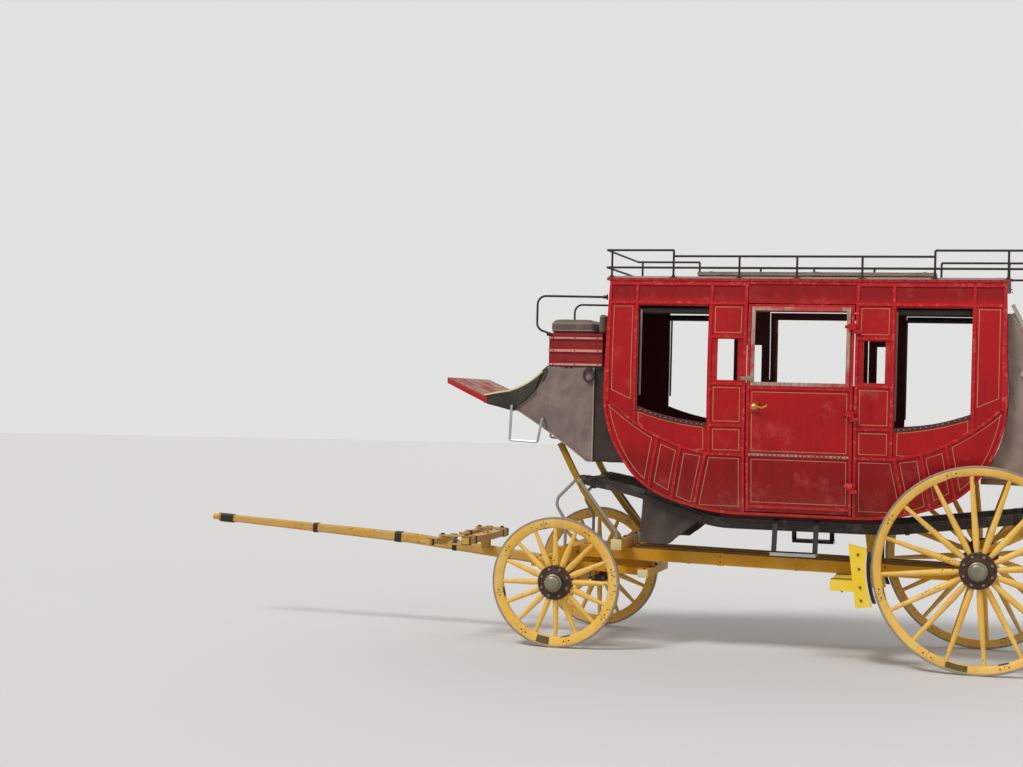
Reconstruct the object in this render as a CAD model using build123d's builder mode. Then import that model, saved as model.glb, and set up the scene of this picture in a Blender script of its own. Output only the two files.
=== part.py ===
"""A horse-drawn stagecoach on thoroughbraces, in millimetres.

+Z is up, +X points to the rear, and the coach's left side faces -Y. The ground is Z = 0. Places along the
coach are stations, counted rearwards from the front axle, and the origin is under the middle of the whole
length from the pole's tip to the back of the rear boot.
"""
import os

from build123d import *

os.makedirs("parts", exist_ok=True)

# Running gear
FRONT_RADIUS = 525.0
REAR_RADIUS = 790.0
WHEELBASE = 3280.0
TYRE_WIDTH = 44.0
TYRE_THICKNESS = 17.0
FRONT_FELLOE = 72.0
REAR_FELLOE = 58.0
FELLOE_WIDTH = 42.0
TRACK_HALF = 772.0
SPOKES = 16
HUB_RADIUS = 84.0
HUB_INNER_REACH = 150.0
HUB_OUTER_REACH = 68.0
FLANGE_RADIUS = 140.0
FLANGE_THICKNESS = 12.0
SPOKE_FOOT_HALF = 27.0
COLLAR_RADIUS = 80.0
COLLAR_LENGTH = 24.0
NUT_RADIUS = 70.0
NUT_LENGTH = 42.0
NUT_ROUNDING = 26.0
ARM_RADIUS = 36.0
RUNNING_CLEARANCE = 0.05
SEAT_GAP = 0.3
ROD_FLAT_COUNT = 6

# Pole, ahead of the front axle
POLE_REACH = 3400.0

# Cabin body
BODY_LEAD = 1380.0
BODY_MIDDLE = WHEELBASE - BODY_LEAD
BODY_HALF_LENGTH = 1565.0
BODY_BOTTOM = 1120.0
ROOF_Z = 2970.0
ROOF_TUCK = 25.0
ROOF_HALF_LENGTH = BODY_HALF_LENGTH - ROOF_TUCK
FRIEZE_DEPTH = 175.0
FRIEZE_Z = ROOF_Z - FRIEZE_DEPTH
WAIST_HALF = 680.0
WAIST_Z = 2000.0
ROOF_HALF = 632.0
BOTTOM_HALF = 552.0
WALL = 30.0
DOOR_HALF = 412.0
DOOR_GAP = 9.0
DOOR_BOTTOM = BODY_BOTTOM + 32.0
DOOR_TOP = FRIEZE_Z - 7.0
MOULDING_RISE = 9.0
MOULDING_WIDTH = 22.0
CABIN_FRONT = BODY_MIDDLE - BODY_HALF_LENGTH
CABIN_REAR = BODY_MIDDLE + BODY_HALF_LENGTH

# The platform behind the cabin ends the coach
PLATFORM_REACH = 685.0
TAIL_REACH = CABIN_REAR + PLATFORM_REACH
FRONT_AXLE_X = -(TAIL_REACH - POLE_REACH) / 2


def side_plane(y=0.0):
    """A plane facing left, whose sketches are drawn as (station, height)."""
    return Plane(origin=(FRONT_AXLE_X, y, 0), x_dir=(1, 0, 0), z_dir=(0, -1, 0))


def cross_plane(station=0.0):
    """A plane facing rearwards, whose sketches are drawn as (y, height)."""
    return Plane(origin=(FRONT_AXLE_X + station, 0, 0), x_dir=(0, 1, 0), z_dir=(1, 0, 0))


def plan_plane(height=0.0):
    """A plane facing up, whose sketches are drawn as (station, y)."""
    return Plane(origin=(FRONT_AXLE_X, 0, height), x_dir=(1, 0, 0), z_dir=(0, 0, 1))


def save(piece, name):
    """Labels a finished piece and writes its STEP file."""
    piece.part.label = name
    export_step(piece.part, f"parts/{name}.step")


def save_pair(left, name):
    """Writes a left-hand piece and its mirror image, and returns both."""
    with BuildPart() as right:
        mirror(left.part, about=Plane.XZ)
    save(left, name + "_left")
    save(right, name + "_right")
    return left, right


def save_both(left, name):
    """Writes a left-hand piece and its mirror image as one node of separate solids."""
    with BuildPart() as both:
        add(left.part)
        mirror(left.part, about=Plane.XZ)
    save(both, name)
    return both


def bar(points, width, height):
    """A square-edged bar that follows stations and heights in the plane of its first point.

    points are (station, y, height); the bar is mitred where it turns.
    """
    with BuildPart() as solid:
        with BuildLine() as path:
            Polyline(*[(FRONT_AXLE_X + s, y, z) for s, y, z in points])
        with BuildSketch(Plane(origin=path.line @ 0, x_dir=(0, 1, 0), z_dir=path.line % 0)):
            Rectangle(width, height)
        sweep(transition=Transition.RIGHT)
    return solid.part


def rod(points, radius, bend=40.0):
    """An iron rod through (station, y, height) points, drawn to six flats and bent at its corners."""
    places = [(FRONT_AXLE_X + s, y, z) for s, y, z in points]
    with BuildPart() as solid:
        with BuildLine() as path:
            if len(places) > 2:
                FilletPolyline(*places, radius=bend)
            else:
                Line(*places)
        with BuildSketch(path.line ^ 0):
            RegularPolygon(radius, ROD_FLAT_COUNT)
        sweep()
    return solid.part


# Wheels: built about their own axis, +Z outboard, then stood on the ground


def build_spoke(foot, tip):
    """One tapered spoke along +X, oval in section and widest a third of the way out."""
    # Columns: share of the length, width in the wheel's plane, thickness along the axle
    sections = [(0.0, 31.0, 44.0), (0.30, 52.0, 40.0), (1.0, 30.0, 30.0)]
    with BuildPart() as spoke:
        for share, width, thickness in sections:
            radius = foot + (tip - foot) * share
            with BuildSketch(Plane(origin=(radius, 0, 0), x_dir=(0, 1, 0), z_dir=(1, 0, 0))):
                Polygon(
                    (width / 2, 0), (width / 4, thickness / 2), (-width / 4, thickness / 2),
                    (-width / 2, 0), (-width / 4, -thickness / 2), (width / 4, -thickness / 2), align=None,
                )
        loft(ruled=True)
    return spoke.part


def build_wheel(radius, felloe, phase):
    """Returns the tyre, the wood of the wheel and its hub, all centred on the origin."""
    felloe_outer = radius - TYRE_THICKNESS
    felloe_inner = felloe_outer - felloe
    with BuildPart() as tyre:
        with BuildSketch(Plane.XZ):
            with Locations((radius - TYRE_THICKNESS / 2, 0)):
                Rectangle(TYRE_THICKNESS, TYRE_WIDTH)
        revolve(axis=Axis.Z)
    with BuildPart() as wood:
        with BuildSketch(Plane.XZ):
            with Locations((felloe_outer - felloe / 2, 0)):
                Rectangle(felloe, FELLOE_WIDTH)
        revolve(axis=Axis.Z)
        spoke = build_spoke(HUB_RADIUS + SEAT_GAP, felloe_inner + 6)
        with PolarLocations(0, SPOKES, start_angle=phase):
            add(spoke)
    outer = HUB_OUTER_REACH
    with BuildPart() as hub:
        with BuildSketch(Plane.XZ):
            with BuildLine():
                Polyline(
                    (0, -HUB_INNER_REACH),
                    (HUB_RADIUS - 18, -HUB_INNER_REACH),
                    (HUB_RADIUS, -SPOKE_FOOT_HALF - FLANGE_THICKNESS),
                    (FLANGE_RADIUS, -SPOKE_FOOT_HALF - FLANGE_THICKNESS),
                    (FLANGE_RADIUS, -SPOKE_FOOT_HALF),
                    (HUB_RADIUS, -SPOKE_FOOT_HALF),
                    (HUB_RADIUS, SPOKE_FOOT_HALF),
                    (FLANGE_RADIUS, SPOKE_FOOT_HALF),
                    (FLANGE_RADIUS, SPOKE_FOOT_HALF + FLANGE_THICKNESS),
                    (HUB_RADIUS, SPOKE_FOOT_HALF + FLANGE_THICKNESS),
                    (COLLAR_RADIUS, outer + COLLAR_LENGTH),
                    (NUT_RADIUS, outer + COLLAR_LENGTH),
                    (NUT_RADIUS - NUT_ROUNDING, outer + COLLAR_LENGTH + NUT_LENGTH),
                    (0, outer + COLLAR_LENGTH + NUT_LENGTH),
                    close=True,
                )
            make_face()
        revolve(axis=Axis.Z)
        with BuildSketch(Plane.XY.offset(-HUB_INNER_REACH)):
            Circle(ARM_RADIUS + RUNNING_CLEARANCE)
        extrude(amount=HUB_INNER_REACH + outer, mode=Mode.SUBTRACT)
    return {"tyre": tyre.part, "wheel": wood.part, "hub": hub.part}


# Columns: name, station, radius, felloe depth, turn of the first spoke in degrees
WHEELS = [
    ("front", 0.0, FRONT_RADIUS, FRONT_FELLOE, 1.5),
    ("rear", WHEELBASE, REAR_RADIUS, REAR_FELLOE, 5.0),
]
for end, station, radius, felloe, phase in WHEELS:
    stand = Plane(origin=(FRONT_AXLE_X + station, -TRACK_HALF, radius), x_dir=(1, 0, 0), z_dir=(0, -1, 0))
    for kind, solid in build_wheel(radius, felloe, phase).items():
        with BuildPart() as placed:
            add(solid.moved(stand.location))
        save_pair(placed, f"{kind}_{end}")

# Axles: an iron arm each side in a timber bed
AXLE_BED_WIDTH = 96.0
AXLE_BED_HEIGHT = 104.0
BED_HALF = TRACK_HALF - HUB_INNER_REACH - 40.0
ARM_END = TRACK_HALF + HUB_OUTER_REACH - 8.0
SHOULDER_RADIUS = 56.0


def build_axle(station, height):
    """A timber bed with the axle's collars and round arms at its ends."""
    with BuildPart() as axle:
        with BuildSketch(cross_plane(station - AXLE_BED_WIDTH / 2)):
            with Locations((0, height)):
                Rectangle(2 * BED_HALF, AXLE_BED_HEIGHT)
        extrude(amount=AXLE_BED_WIDTH)
        chamfer(axle.edges().filter_by(Axis.Y), 12)
        for side in (-1, 1):
            with BuildSketch(side_plane(side * BED_HALF)):
                with Locations((station, height)):
                    Circle(SHOULDER_RADIUS - 8)
            extrude(amount=-side * (TRACK_HALF - HUB_INNER_REACH - 2 - BED_HALF))
            with BuildSketch(side_plane(side * BED_HALF)):
                with Locations((station, height)):
                    Circle(ARM_RADIUS)
            extrude(amount=-side * (ARM_END - BED_HALF))
    return axle


rear_axle = build_axle(WHEELBASE, REAR_RADIUS)
save(rear_axle, "rear_axle")

# Front gear that steers: hounds and sway bar on the axle bed, ring, pole and evener
KINGPIN_RADIUS = 18.0
SAND_BOARD = 24.0
HOUND_BOTTOM = FRONT_RADIUS + AXLE_BED_HEIGHT / 2 + SAND_BOARD
HOUND_THICKNESS = 60.0
HOUND_WIDTH = 58.0
HOUND_Y = 300.0
HOUND_REACH = 330.0
HOUND_BAR = 80.0
SWAY_STATION = 640.0
SWAY_HALF = 420.0
SWAY_DROP = 34.0
RING_RADIUS = 260.0
RING_WIDTH = 46.0
RING_THICKNESS = 12.0
RING_Z = HOUND_BOTTOM + HOUND_THICKNESS

with BuildPart() as front_axle:
    add(build_axle(0.0, FRONT_RADIUS).part)
    with BuildSketch(plan_plane(HOUND_BOTTOM)):
        Circle(KINGPIN_RADIUS + RUNNING_CLEARANCE)
    extrude(amount=-AXLE_BED_HEIGHT - SAND_BOARD, mode=Mode.SUBTRACT)
save(front_axle, "front_axle")

with BuildPart() as hounds:
    for side in (-1, 1):
        with BuildSketch(side_plane(side * HOUND_Y)):
            Polygon(
                (-HOUND_REACH, RING_Z),
                (AXLE_BED_WIDTH / 2, RING_Z),
                (SWAY_STATION + HOUND_BAR / 2, RING_Z - SWAY_DROP),
                (SWAY_STATION + HOUND_BAR / 2, HOUND_BOTTOM - SWAY_DROP),
                (AXLE_BED_WIDTH / 2, HOUND_BOTTOM),
                (-HOUND_REACH, HOUND_BOTTOM),
                align=None,
            )
        extrude(amount=HOUND_WIDTH / 2, both=True)
    # Cross bars. Columns: station, half width, drop below the hounds' own level
    for station, half, drop in [
        (0.0, HOUND_Y, 0.0), (-HOUND_REACH + HOUND_BAR / 2, HOUND_Y, 0.0), (SWAY_STATION, SWAY_HALF, SWAY_DROP),
    ]:
        with BuildSketch(plan_plane(HOUND_BOTTOM - drop)):
            with Locations((station, 0)):
                Rectangle(HOUND_BAR, 2 * half)
        extrude(amount=HOUND_THICKNESS)
    with BuildSketch(plan_plane(RING_Z)):
        Circle(RING_RADIUS)
        Circle(RING_RADIUS - RING_WIDTH, mode=Mode.SUBTRACT)
    extrude(amount=RING_THICKNESS)
    # The sand board beds the cross bar on the axle, and a plate takes the wear round the kingpin
    with BuildSketch(plan_plane(HOUND_BOTTOM)):
        Rectangle(HOUND_BAR, 2 * HOUND_Y)
    extrude(amount=-SAND_BOARD)
    with BuildSketch(plan_plane(RING_Z)):
        Rectangle(HOUND_BAR, 2 * HOUND_BAR)
    extrude(amount=RING_THICKNESS)
    with BuildSketch(plan_plane(HOUND_BOTTOM - SAND_BOARD)):
        Circle(KINGPIN_RADIUS + RUNNING_CLEARANCE)
    extrude(amount=SAND_BOARD + HOUND_THICKNESS + RING_THICKNESS, mode=Mode.SUBTRACT)
save(hounds, "hounds")

POLE_ROOT_Z = HOUND_BOTTOM + HOUND_THICKNESS / 2
POLE_TIP_Z = 860.0
POLE_ROOT_SIZE = 96.0
POLE_TIP_SIZE = 58.0
PIN_REACH = 60.0
PIN_TIP_RADIUS = 24.0
EVENER_STATION = -830.0
EVENER_HALF = 580.0
EVENER_Z = 775.0
EVENER_HEIGHT = 56.0
EVENER_BOSS = 44.0
TREE_LEAD = 220.0
TREE_STATION = EVENER_STATION - TREE_LEAD
TREE_HALF = 370.0
TREE_HEIGHT = 44.0
TREE_PIVOT_Y = EVENER_HALF - 60.0
TREE_PIN = 13.0
TREE_TIP_FRONT = 22.0
TRACE_PIN_RADIUS = 14.0
TRACE_PIN_LENGTH = 45.0
TRACE_PIN_Y = TREE_HALF - 26.0
TRACE_COLLAR_REACH = TREE_TIP_FRONT + 12.0
STRAP_THICKNESS = 12.0
STRAP_WIDTH = 56.0
POLE_MIDDLE = (EVENER_STATION - 670.0, 755.0)

with BuildPart() as pole:
    # Columns: station, height, width across, depth
    for station, height, width, depth in [
        (-HOUND_REACH - SEAT_GAP, POLE_ROOT_Z + 2, POLE_ROOT_SIZE, POLE_ROOT_SIZE - 12),
        (POLE_MIDDLE[0], POLE_MIDDLE[1], POLE_ROOT_SIZE - 8, POLE_ROOT_SIZE - 12),
        (-POLE_REACH + PIN_REACH, POLE_TIP_Z, POLE_TIP_SIZE, POLE_TIP_SIZE),
    ]:
        with BuildSketch(cross_plane(station)) as section:
            with Locations((0, height)):
                Rectangle(width, depth)
            chamfer(section.vertices(), width * 0.16)
    loft(ruled=True)
    with BuildSketch(cross_plane(-POLE_REACH)):
        with Locations((0, POLE_TIP_Z)):
            Circle(PIN_TIP_RADIUS)
    extrude(amount=3 * PIN_REACH)
    with BuildSketch(cross_plane(-POLE_REACH + PIN_REACH - 5)):
        with Locations((0, POLE_TIP_Z)):
            Circle(PIN_TIP_RADIUS + 14)
    extrude(amount=14)
    # The evener's seat, pin and nut
    with BuildSketch(plan_plane(EVENER_Z - SEAT_GAP)):
        with Locations((EVENER_STATION, 0)):
            Circle(EVENER_BOSS)
    extrude(amount=-60)
    with BuildSketch(plan_plane(EVENER_Z - 20)):
        with Locations((EVENER_STATION, 0)):
            Circle(TREE_PIN)
    extrude(amount=20 + EVENER_HEIGHT + 1)
    with BuildSketch(plan_plane(EVENER_Z + EVENER_HEIGHT + 1)):
        with Locations((EVENER_STATION, 0)):
            RegularPolygon(2 * TREE_PIN, 6)
    extrude(amount=14)
save(pole, "pole")

with BuildPart() as evener:
    with BuildSketch(plan_plane(EVENER_Z)):
        Polygon(
            (EVENER_STATION - 50, -90), (EVENER_STATION - 50, 90), (EVENER_STATION - 30, EVENER_HALF),
            (EVENER_STATION + 30, EVENER_HALF), (EVENER_STATION + 50, 90), (EVENER_STATION + 50, -90),
            (EVENER_STATION + 30, -EVENER_HALF), (EVENER_STATION - 30, -EVENER_HALF), align=None,
        )
        with Locations((EVENER_STATION, 0)):
            Circle(TREE_PIN + RUNNING_CLEARANCE, mode=Mode.SUBTRACT)
    extrude(amount=EVENER_HEIGHT)
    # Straps above and below carry each singletree on a pin
    for strap_z in (EVENER_Z - STRAP_THICKNESS, EVENER_Z + EVENER_HEIGHT):
        with BuildSketch(plan_plane(strap_z)):
            with Locations(
                (EVENER_STATION - TREE_LEAD / 2, -TREE_PIVOT_Y), (EVENER_STATION - TREE_LEAD / 2, TREE_PIVOT_Y),
            ):
                Rectangle(TREE_LEAD + STRAP_WIDTH, STRAP_WIDTH)
        extrude(amount=STRAP_THICKNESS)
    with BuildSketch(plan_plane(EVENER_Z)):
        with Locations((TREE_STATION, -TREE_PIVOT_Y), (TREE_STATION, TREE_PIVOT_Y)):
            Circle(TREE_PIN)
    extrude(amount=EVENER_HEIGHT)
save(evener, "evener")

with BuildPart() as singletree:
    with BuildSketch(plan_plane(EVENER_Z + (EVENER_HEIGHT - TREE_HEIGHT) / 2)):
        Polygon(
            (TREE_STATION - TREE_TIP_FRONT, -TREE_PIVOT_Y - TREE_HALF), (TREE_STATION - 32, -TREE_PIVOT_Y),
            (TREE_STATION - TREE_TIP_FRONT, -TREE_PIVOT_Y + TREE_HALF),
            (TREE_STATION + 14, -TREE_PIVOT_Y + TREE_HALF),
            (TREE_STATION + 32, -TREE_PIVOT_Y), (TREE_STATION + 14, -TREE_PIVOT_Y - TREE_HALF), align=None,
        )
        with Locations((TREE_STATION, -TREE_PIVOT_Y)):
            Circle(TREE_PIN + RUNNING_CLEARANCE, mode=Mode.SUBTRACT)
    extrude(amount=TREE_HEIGHT)
    # A pin on a collar faces forward at each end for the eye of a trace. Columns: radius, reach ahead
    for radius, reach in [
        (TRACE_PIN_RADIUS + 6, TRACE_COLLAR_REACH), (TRACE_PIN_RADIUS, TRACE_COLLAR_REACH + TRACE_PIN_LENGTH),
    ]:
        with BuildSketch(cross_plane(TREE_STATION)):
            for side in (-1, 1):
                with Locations((-TREE_PIVOT_Y + side * TRACE_PIN_Y, EVENER_Z + EVENER_HEIGHT / 2)):
                    Circle(radius)
        extrude(amount=-reach)
save_pair(singletree, "singletree")

# Carriage frame: transom, perches, crossbar, stands and thoroughbraces
TRANSOM_Z = RING_Z + RING_THICKNESS + 1.0
TRANSOM_HEIGHT = 116.0
TRANSOM_HALF = 520.0
TRANSOM_WIDTH = 110.0
PERCH_HEIGHT = 96.0
PERCH_WIDTH = 78.0
PERCH_Y = 215.0
PERCH_FALL = 46.0
PERCH_START = TRANSOM_WIDTH / 2
PERCH_END = WHEELBASE - AXLE_BED_WIDTH / 2
PERCH_FRONT_Z = TRANSOM_Z + RING_THICKNESS + 12.0


def perch_bottom(station):
    """The height of the perches' underside, which falls towards the rear axle."""
    return PERCH_FRONT_Z - PERCH_FALL * (station - PERCH_START) / (PERCH_END - PERCH_START)


with BuildPart() as transom:
    with BuildSketch(plan_plane(TRANSOM_Z)):
        Rectangle(TRANSOM_WIDTH, 2 * TRANSOM_HALF)
    extrude(amount=TRANSOM_HEIGHT)
    chamfer(transom.edges().filter_by(Axis.Z), 20)
    with BuildSketch(plan_plane(TRANSOM_Z)):
        Circle(RING_RADIUS)
        Circle(RING_RADIUS - RING_WIDTH, mode=Mode.SUBTRACT)
    extrude(amount=RING_THICKNESS - 2)
    with BuildSketch(plan_plane(TRANSOM_Z)):
        Circle(KINGPIN_RADIUS)
    extrude(amount=-(TRANSOM_Z - FRONT_RADIUS + AXLE_BED_HEIGHT / 2 + 14))
save(transom, "front_transom")

BRIDGE_WIDTH = 60.0
with BuildPart() as perches:
    for y in (-PERCH_Y, 0, PERCH_Y):
        with BuildSketch(side_plane(y)):
            Polygon(
                (PERCH_START, perch_bottom(PERCH_START)), (PERCH_END, perch_bottom(PERCH_END)),
                (PERCH_END, perch_bottom(PERCH_END) + PERCH_HEIGHT),
                (PERCH_START, perch_bottom(PERCH_START) + PERCH_HEIGHT), align=None,
            )
        extrude(amount=PERCH_WIDTH / 2, both=True)
    # Bridges between the perches, at shares of the wheelbase
    for share in (0.38, 0.78):
        station = share * WHEELBASE
        with BuildSketch(plan_plane(perch_bottom(station) + 16)):
            with Locations((station, 0)):
                Rectangle(BRIDGE_WIDTH, 2 * PERCH_Y)
        extrude(amount=PERCH_HEIGHT - 32)
save(perches, "perches")

CROSSBAR_STATION = 440.0
CROSSBAR_HALF = 540.0
CROSSBAR_SIZE = 84.0
CROSSBAR_Z = perch_bottom(CROSSBAR_STATION - CROSSBAR_SIZE / 2) + PERCH_HEIGHT
with BuildPart() as crossbar:
    with BuildSketch(plan_plane(CROSSBAR_Z)):
        with Locations((CROSSBAR_STATION, 0)):
            Rectangle(CROSSBAR_SIZE, 2 * CROSSBAR_HALF)
    extrude(amount=CROSSBAR_SIZE)
    chamfer(crossbar.edges().filter_by(Axis.Y), 10)
save(crossbar, "front_crossbar")

# The hooks stand off the axles and carry the thoroughbraces under the cabin
STAND_Y = 495.0
STAND_SIZE = 46.0
HOOK_RADIUS = 18.0
FRONT_HOOK = (118.0, 1340.0)
REAR_HOOK = (WHEELBASE + 420.0, 1180.0)
STAY_RADIUS = 13.0
STAY_Y = STAND_Y + STAND_SIZE / 2 + STAY_RADIUS
STAND_TOP = (CABIN_FRONT - 395.0, 1640.0)
TRANSOM_TOP = TRANSOM_Z + TRANSOM_HEIGHT
CROSSBAR_TOP = CROSSBAR_Z + CROSSBAR_SIZE

with BuildPart() as front_stands:
    for side in (-1, 1):
        y = side * STAND_Y
        add(bar(
            [(CROSSBAR_STATION, y, CROSSBAR_TOP), (CROSSBAR_STATION, y, CROSSBAR_TOP + 30),
             (CROSSBAR_STATION - 140, y, FRONT_HOOK[1] - 280), (FRONT_HOOK[0] + 32, y, FRONT_HOOK[1] - 85),
             (FRONT_HOOK[0] - 68, y, FRONT_HOOK[1] + 90), (STAND_TOP[0], y, STAND_TOP[1])],
            STAND_SIZE, STAND_SIZE,
        ))
        # The bowed rod ahead of the stand, and the straight stay outside it
        add(rod(
            [(0, y, TRANSOM_TOP), (0, y, FRONT_HOOK[1] - 340), (-100, y, FRONT_HOOK[1] - 180),
             (FRONT_HOOK[0] - 42, y, FRONT_HOOK[1])], STAY_RADIUS, 90,
        ))
        add(rod(
            [(FRONT_HOOK[0], side * STAY_Y, FRONT_HOOK[1]), (CROSSBAR_STATION, side * STAY_Y, CROSSBAR_TOP + 50),
             (CROSSBAR_STATION, side * STAY_Y, CROSSBAR_TOP)], STAY_RADIUS, 30,
        ))
    with BuildSketch(side_plane(-STAY_Y - STAY_RADIUS)):
        with Locations(FRONT_HOOK):
            Circle(HOOK_RADIUS)
    extrude(amount=-2 * (STAY_Y + STAY_RADIUS))
save(front_stands, "front_stands")

REAR_BED_TOP = REAR_RADIUS + AXLE_BED_HEIGHT / 2
with BuildPart() as rear_stands:
    for y in (-STAND_Y, STAND_Y):
        add(bar(
            [(WHEELBASE, y, REAR_BED_TOP), (WHEELBASE, y, REAR_BED_TOP + 58), (WHEELBASE + 230, y, REAR_BED_TOP + 168),
             (REAR_HOOK[0] + 10, y, REAR_HOOK[1] + 50)],
            STAND_SIZE, STAND_SIZE,
        ))
    with BuildSketch(side_plane(-STAND_Y)):
        with Locations(REAR_HOOK):
            Circle(HOOK_RADIUS)
    extrude(amount=-2 * STAND_Y)
save(rear_stands, "rear_stands")

BRACE_Y = STAND_Y - 80.0
BRACE_THICKNESS = 84.0
BRACE_WIDTH = 74.0
BEARER_HEIGHT = 38.0
BRACE_FLAT_Z = BODY_BOTTOM - BEARER_HEIGHT - BRACE_THICKNESS / 2
BRACE_FLAT_HALF = 700.0
with BuildPart() as thoroughbrace:
    add(bar(
        [(FRONT_HOOK[0], -BRACE_Y, FRONT_HOOK[1]), (CABIN_FRONT + 285, -BRACE_Y, FRONT_HOOK[1] - 84),
         (BODY_MIDDLE - BRACE_FLAT_HALF, -BRACE_Y, BRACE_FLAT_Z),
         (BODY_MIDDLE + BRACE_FLAT_HALF, -BRACE_Y, BRACE_FLAT_Z),
         (REAR_HOOK[0], -BRACE_Y, REAR_HOOK[1])],
        BRACE_WIDTH, BRACE_THICKNESS,
    ))
    for place in (FRONT_HOOK, REAR_HOOK):
        with BuildSketch(side_plane(-BRACE_Y)):
            with Locations(place):
                Circle(BRACE_THICKNESS / 2)
        extrude(amount=BRACE_WIDTH / 2, both=True)
        with BuildSketch(side_plane(-BRACE_Y)):
            with Locations(place):
                Circle(HOOK_RADIUS + SEAT_GAP)
        extrude(amount=BRACE_WIDTH, both=True, mode=Mode.SUBTRACT)
save_both(thoroughbrace, "thoroughbraces")

# Brake: a beam under the perches, and a block and a curved shoe ahead of each rear wheel
BEAM_WIDTH = 180.0
BEAM_HEIGHT = 80.0
# Lead of each piece over the front of the rear wheels' tyres
BEAM_LEAD = 125.0
BLOCK_LEAD = 36.0
BLOCK_DEPTH = 137.0
BLOCK_LEAN = 44.0
BLOCK_TOP = 155.0
BLOCK_FOOT = 332.0
SHOE_LEAD = 60.0
SHOE_DEPTH = 150.0
SHOE_LEAN = 40.0
SHOE_TOP = 100.0
SHOE_FOOT = 290.0
TYRE_FRONT = WHEELBASE - REAR_RADIUS
BEAM_REAR = TYRE_FRONT - BEAM_LEAD
BEAM_Z = perch_bottom(BEAM_REAR) - BEAM_HEIGHT
BLOCK_HALF = 34.0
BEAM_HALF = TRACK_HALF + BLOCK_HALF
SHOE_GAP = 10.0
with BuildPart() as brake:
    with BuildSketch(plan_plane(BEAM_Z)):
        with Locations((BEAM_REAR - BEAM_WIDTH / 2, 0)):
            Rectangle(BEAM_WIDTH, 2 * BEAM_HALF)
    extrude(amount=BEAM_HEIGHT)
    for side in (-1, 1):
        with BuildSketch(side_plane(side * TRACK_HALF)):
            # The block leans with the rim
            Polygon(
                (TYRE_FRONT - BLOCK_LEAD - BLOCK_DEPTH, REAR_RADIUS + BLOCK_TOP),
                (TYRE_FRONT - BLOCK_LEAD, REAR_RADIUS + BLOCK_TOP - 30),
                (TYRE_FRONT - BLOCK_LEAD + BLOCK_LEAN, REAR_RADIUS - BLOCK_FOOT + 14),
                (TYRE_FRONT - BLOCK_LEAD - BLOCK_DEPTH + BLOCK_LEAN + 21, REAR_RADIUS - BLOCK_FOOT), align=None,
            )
        extrude(amount=BLOCK_HALF, both=True)
        with BuildSketch(side_plane(side * TRACK_HALF)):
            Polygon(
                (TYRE_FRONT - SHOE_LEAD, REAR_RADIUS + SHOE_TOP),
                (TYRE_FRONT - SHOE_LEAD + SHOE_DEPTH, REAR_RADIUS + SHOE_TOP),
                (TYRE_FRONT - SHOE_LEAD + SHOE_DEPTH + SHOE_LEAN, REAR_RADIUS - SHOE_FOOT),
                (TYRE_FRONT - SHOE_LEAD + SHOE_LEAN, REAR_RADIUS - SHOE_FOOT), align=None,
            )
            with Locations((WHEELBASE, REAR_RADIUS)):
                Circle(REAR_RADIUS + SHOE_GAP, mode=Mode.SUBTRACT)
        extrude(amount=TYRE_WIDTH / 2, both=True)
save(brake, "brake")

# Cabin shell
TURN_START = 1115.0
TURN_HEEL = (465.0, 130.0)
TURN_TOE = (215.0, 320.0)
TURN_TOP = 980.0


def side_outline(inset=0.0):
    """The cabin's outline from the side, as (station, height), drawn inset all round."""
    half = BODY_HALF_LENGTH
    with BuildSketch() as outline:
        with BuildLine():
            start = (half - TURN_START, BODY_BOTTOM)
            Line((0, BODY_BOTTOM), start)
            bottom = TangentArc(start, (half - TURN_HEEL[0], BODY_BOTTOM + TURN_HEEL[1]), tangent=(1, 0))
            heel = TangentArc(bottom @ 1, (half - TURN_TOE[0], BODY_BOTTOM + TURN_TOE[1]), tangent=bottom % 1)
            toe = TangentArc(heel @ 1, (half, BODY_BOTTOM + TURN_TOP), tangent=heel % 1)
            Line(toe @ 1, (ROOF_HALF_LENGTH, ROOF_Z))
            Line((ROOF_HALF_LENGTH, ROOF_Z), (0, ROOF_Z))
            mirror(about=Plane.YZ)
        make_face()
        if inset:
            offset(amount=-inset, kind=Kind.INTERSECTION)
    return outline.sketch.moved(Location((BODY_MIDDLE, 0)))


def cross_outline(inset=0.0):
    """The cabin's outline from behind, as (y, height), with bellied sides."""
    low = BODY_BOTTOM - 50
    high = ROOF_Z + 50
    with BuildSketch() as outline:
        with BuildLine():
            belly = ThreePointArc((BOTTOM_HALF - inset, low), (WAIST_HALF - inset, WAIST_Z), (ROOF_HALF - inset, high))
            Line(belly @ 1, (0, high))
            Line(belly @ 0, (0, low))
            mirror(about=Plane.YZ)
        make_face()
    return outline.sketch


REACH_OUT = WAIST_HALF + 100.0
REACH_BACK = CABIN_REAR + 200.0
with BuildPart() as body_block:
    with BuildSketch(side_plane()):
        add(side_outline())
    extrude(amount=REACH_OUT, both=True)

with BuildPart() as inner_body_block:
    with BuildSketch(side_plane()):
        add(side_outline(WALL))
    extrude(amount=REACH_OUT, both=True)

with BuildPart() as section_block:
    with BuildSketch(cross_plane()):
        add(cross_outline())
    extrude(amount=REACH_BACK)

with BuildPart() as inner_section_block:
    with BuildSketch(cross_plane()):
        add(cross_outline(WALL))
    extrude(amount=REACH_BACK)

with BuildPart() as moulding_block:
    with BuildSketch(cross_plane()):
        add(cross_outline(-MOULDING_RISE))
    extrude(amount=REACH_BACK)
    add(section_block.part, mode=Mode.SUBTRACT)

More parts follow.
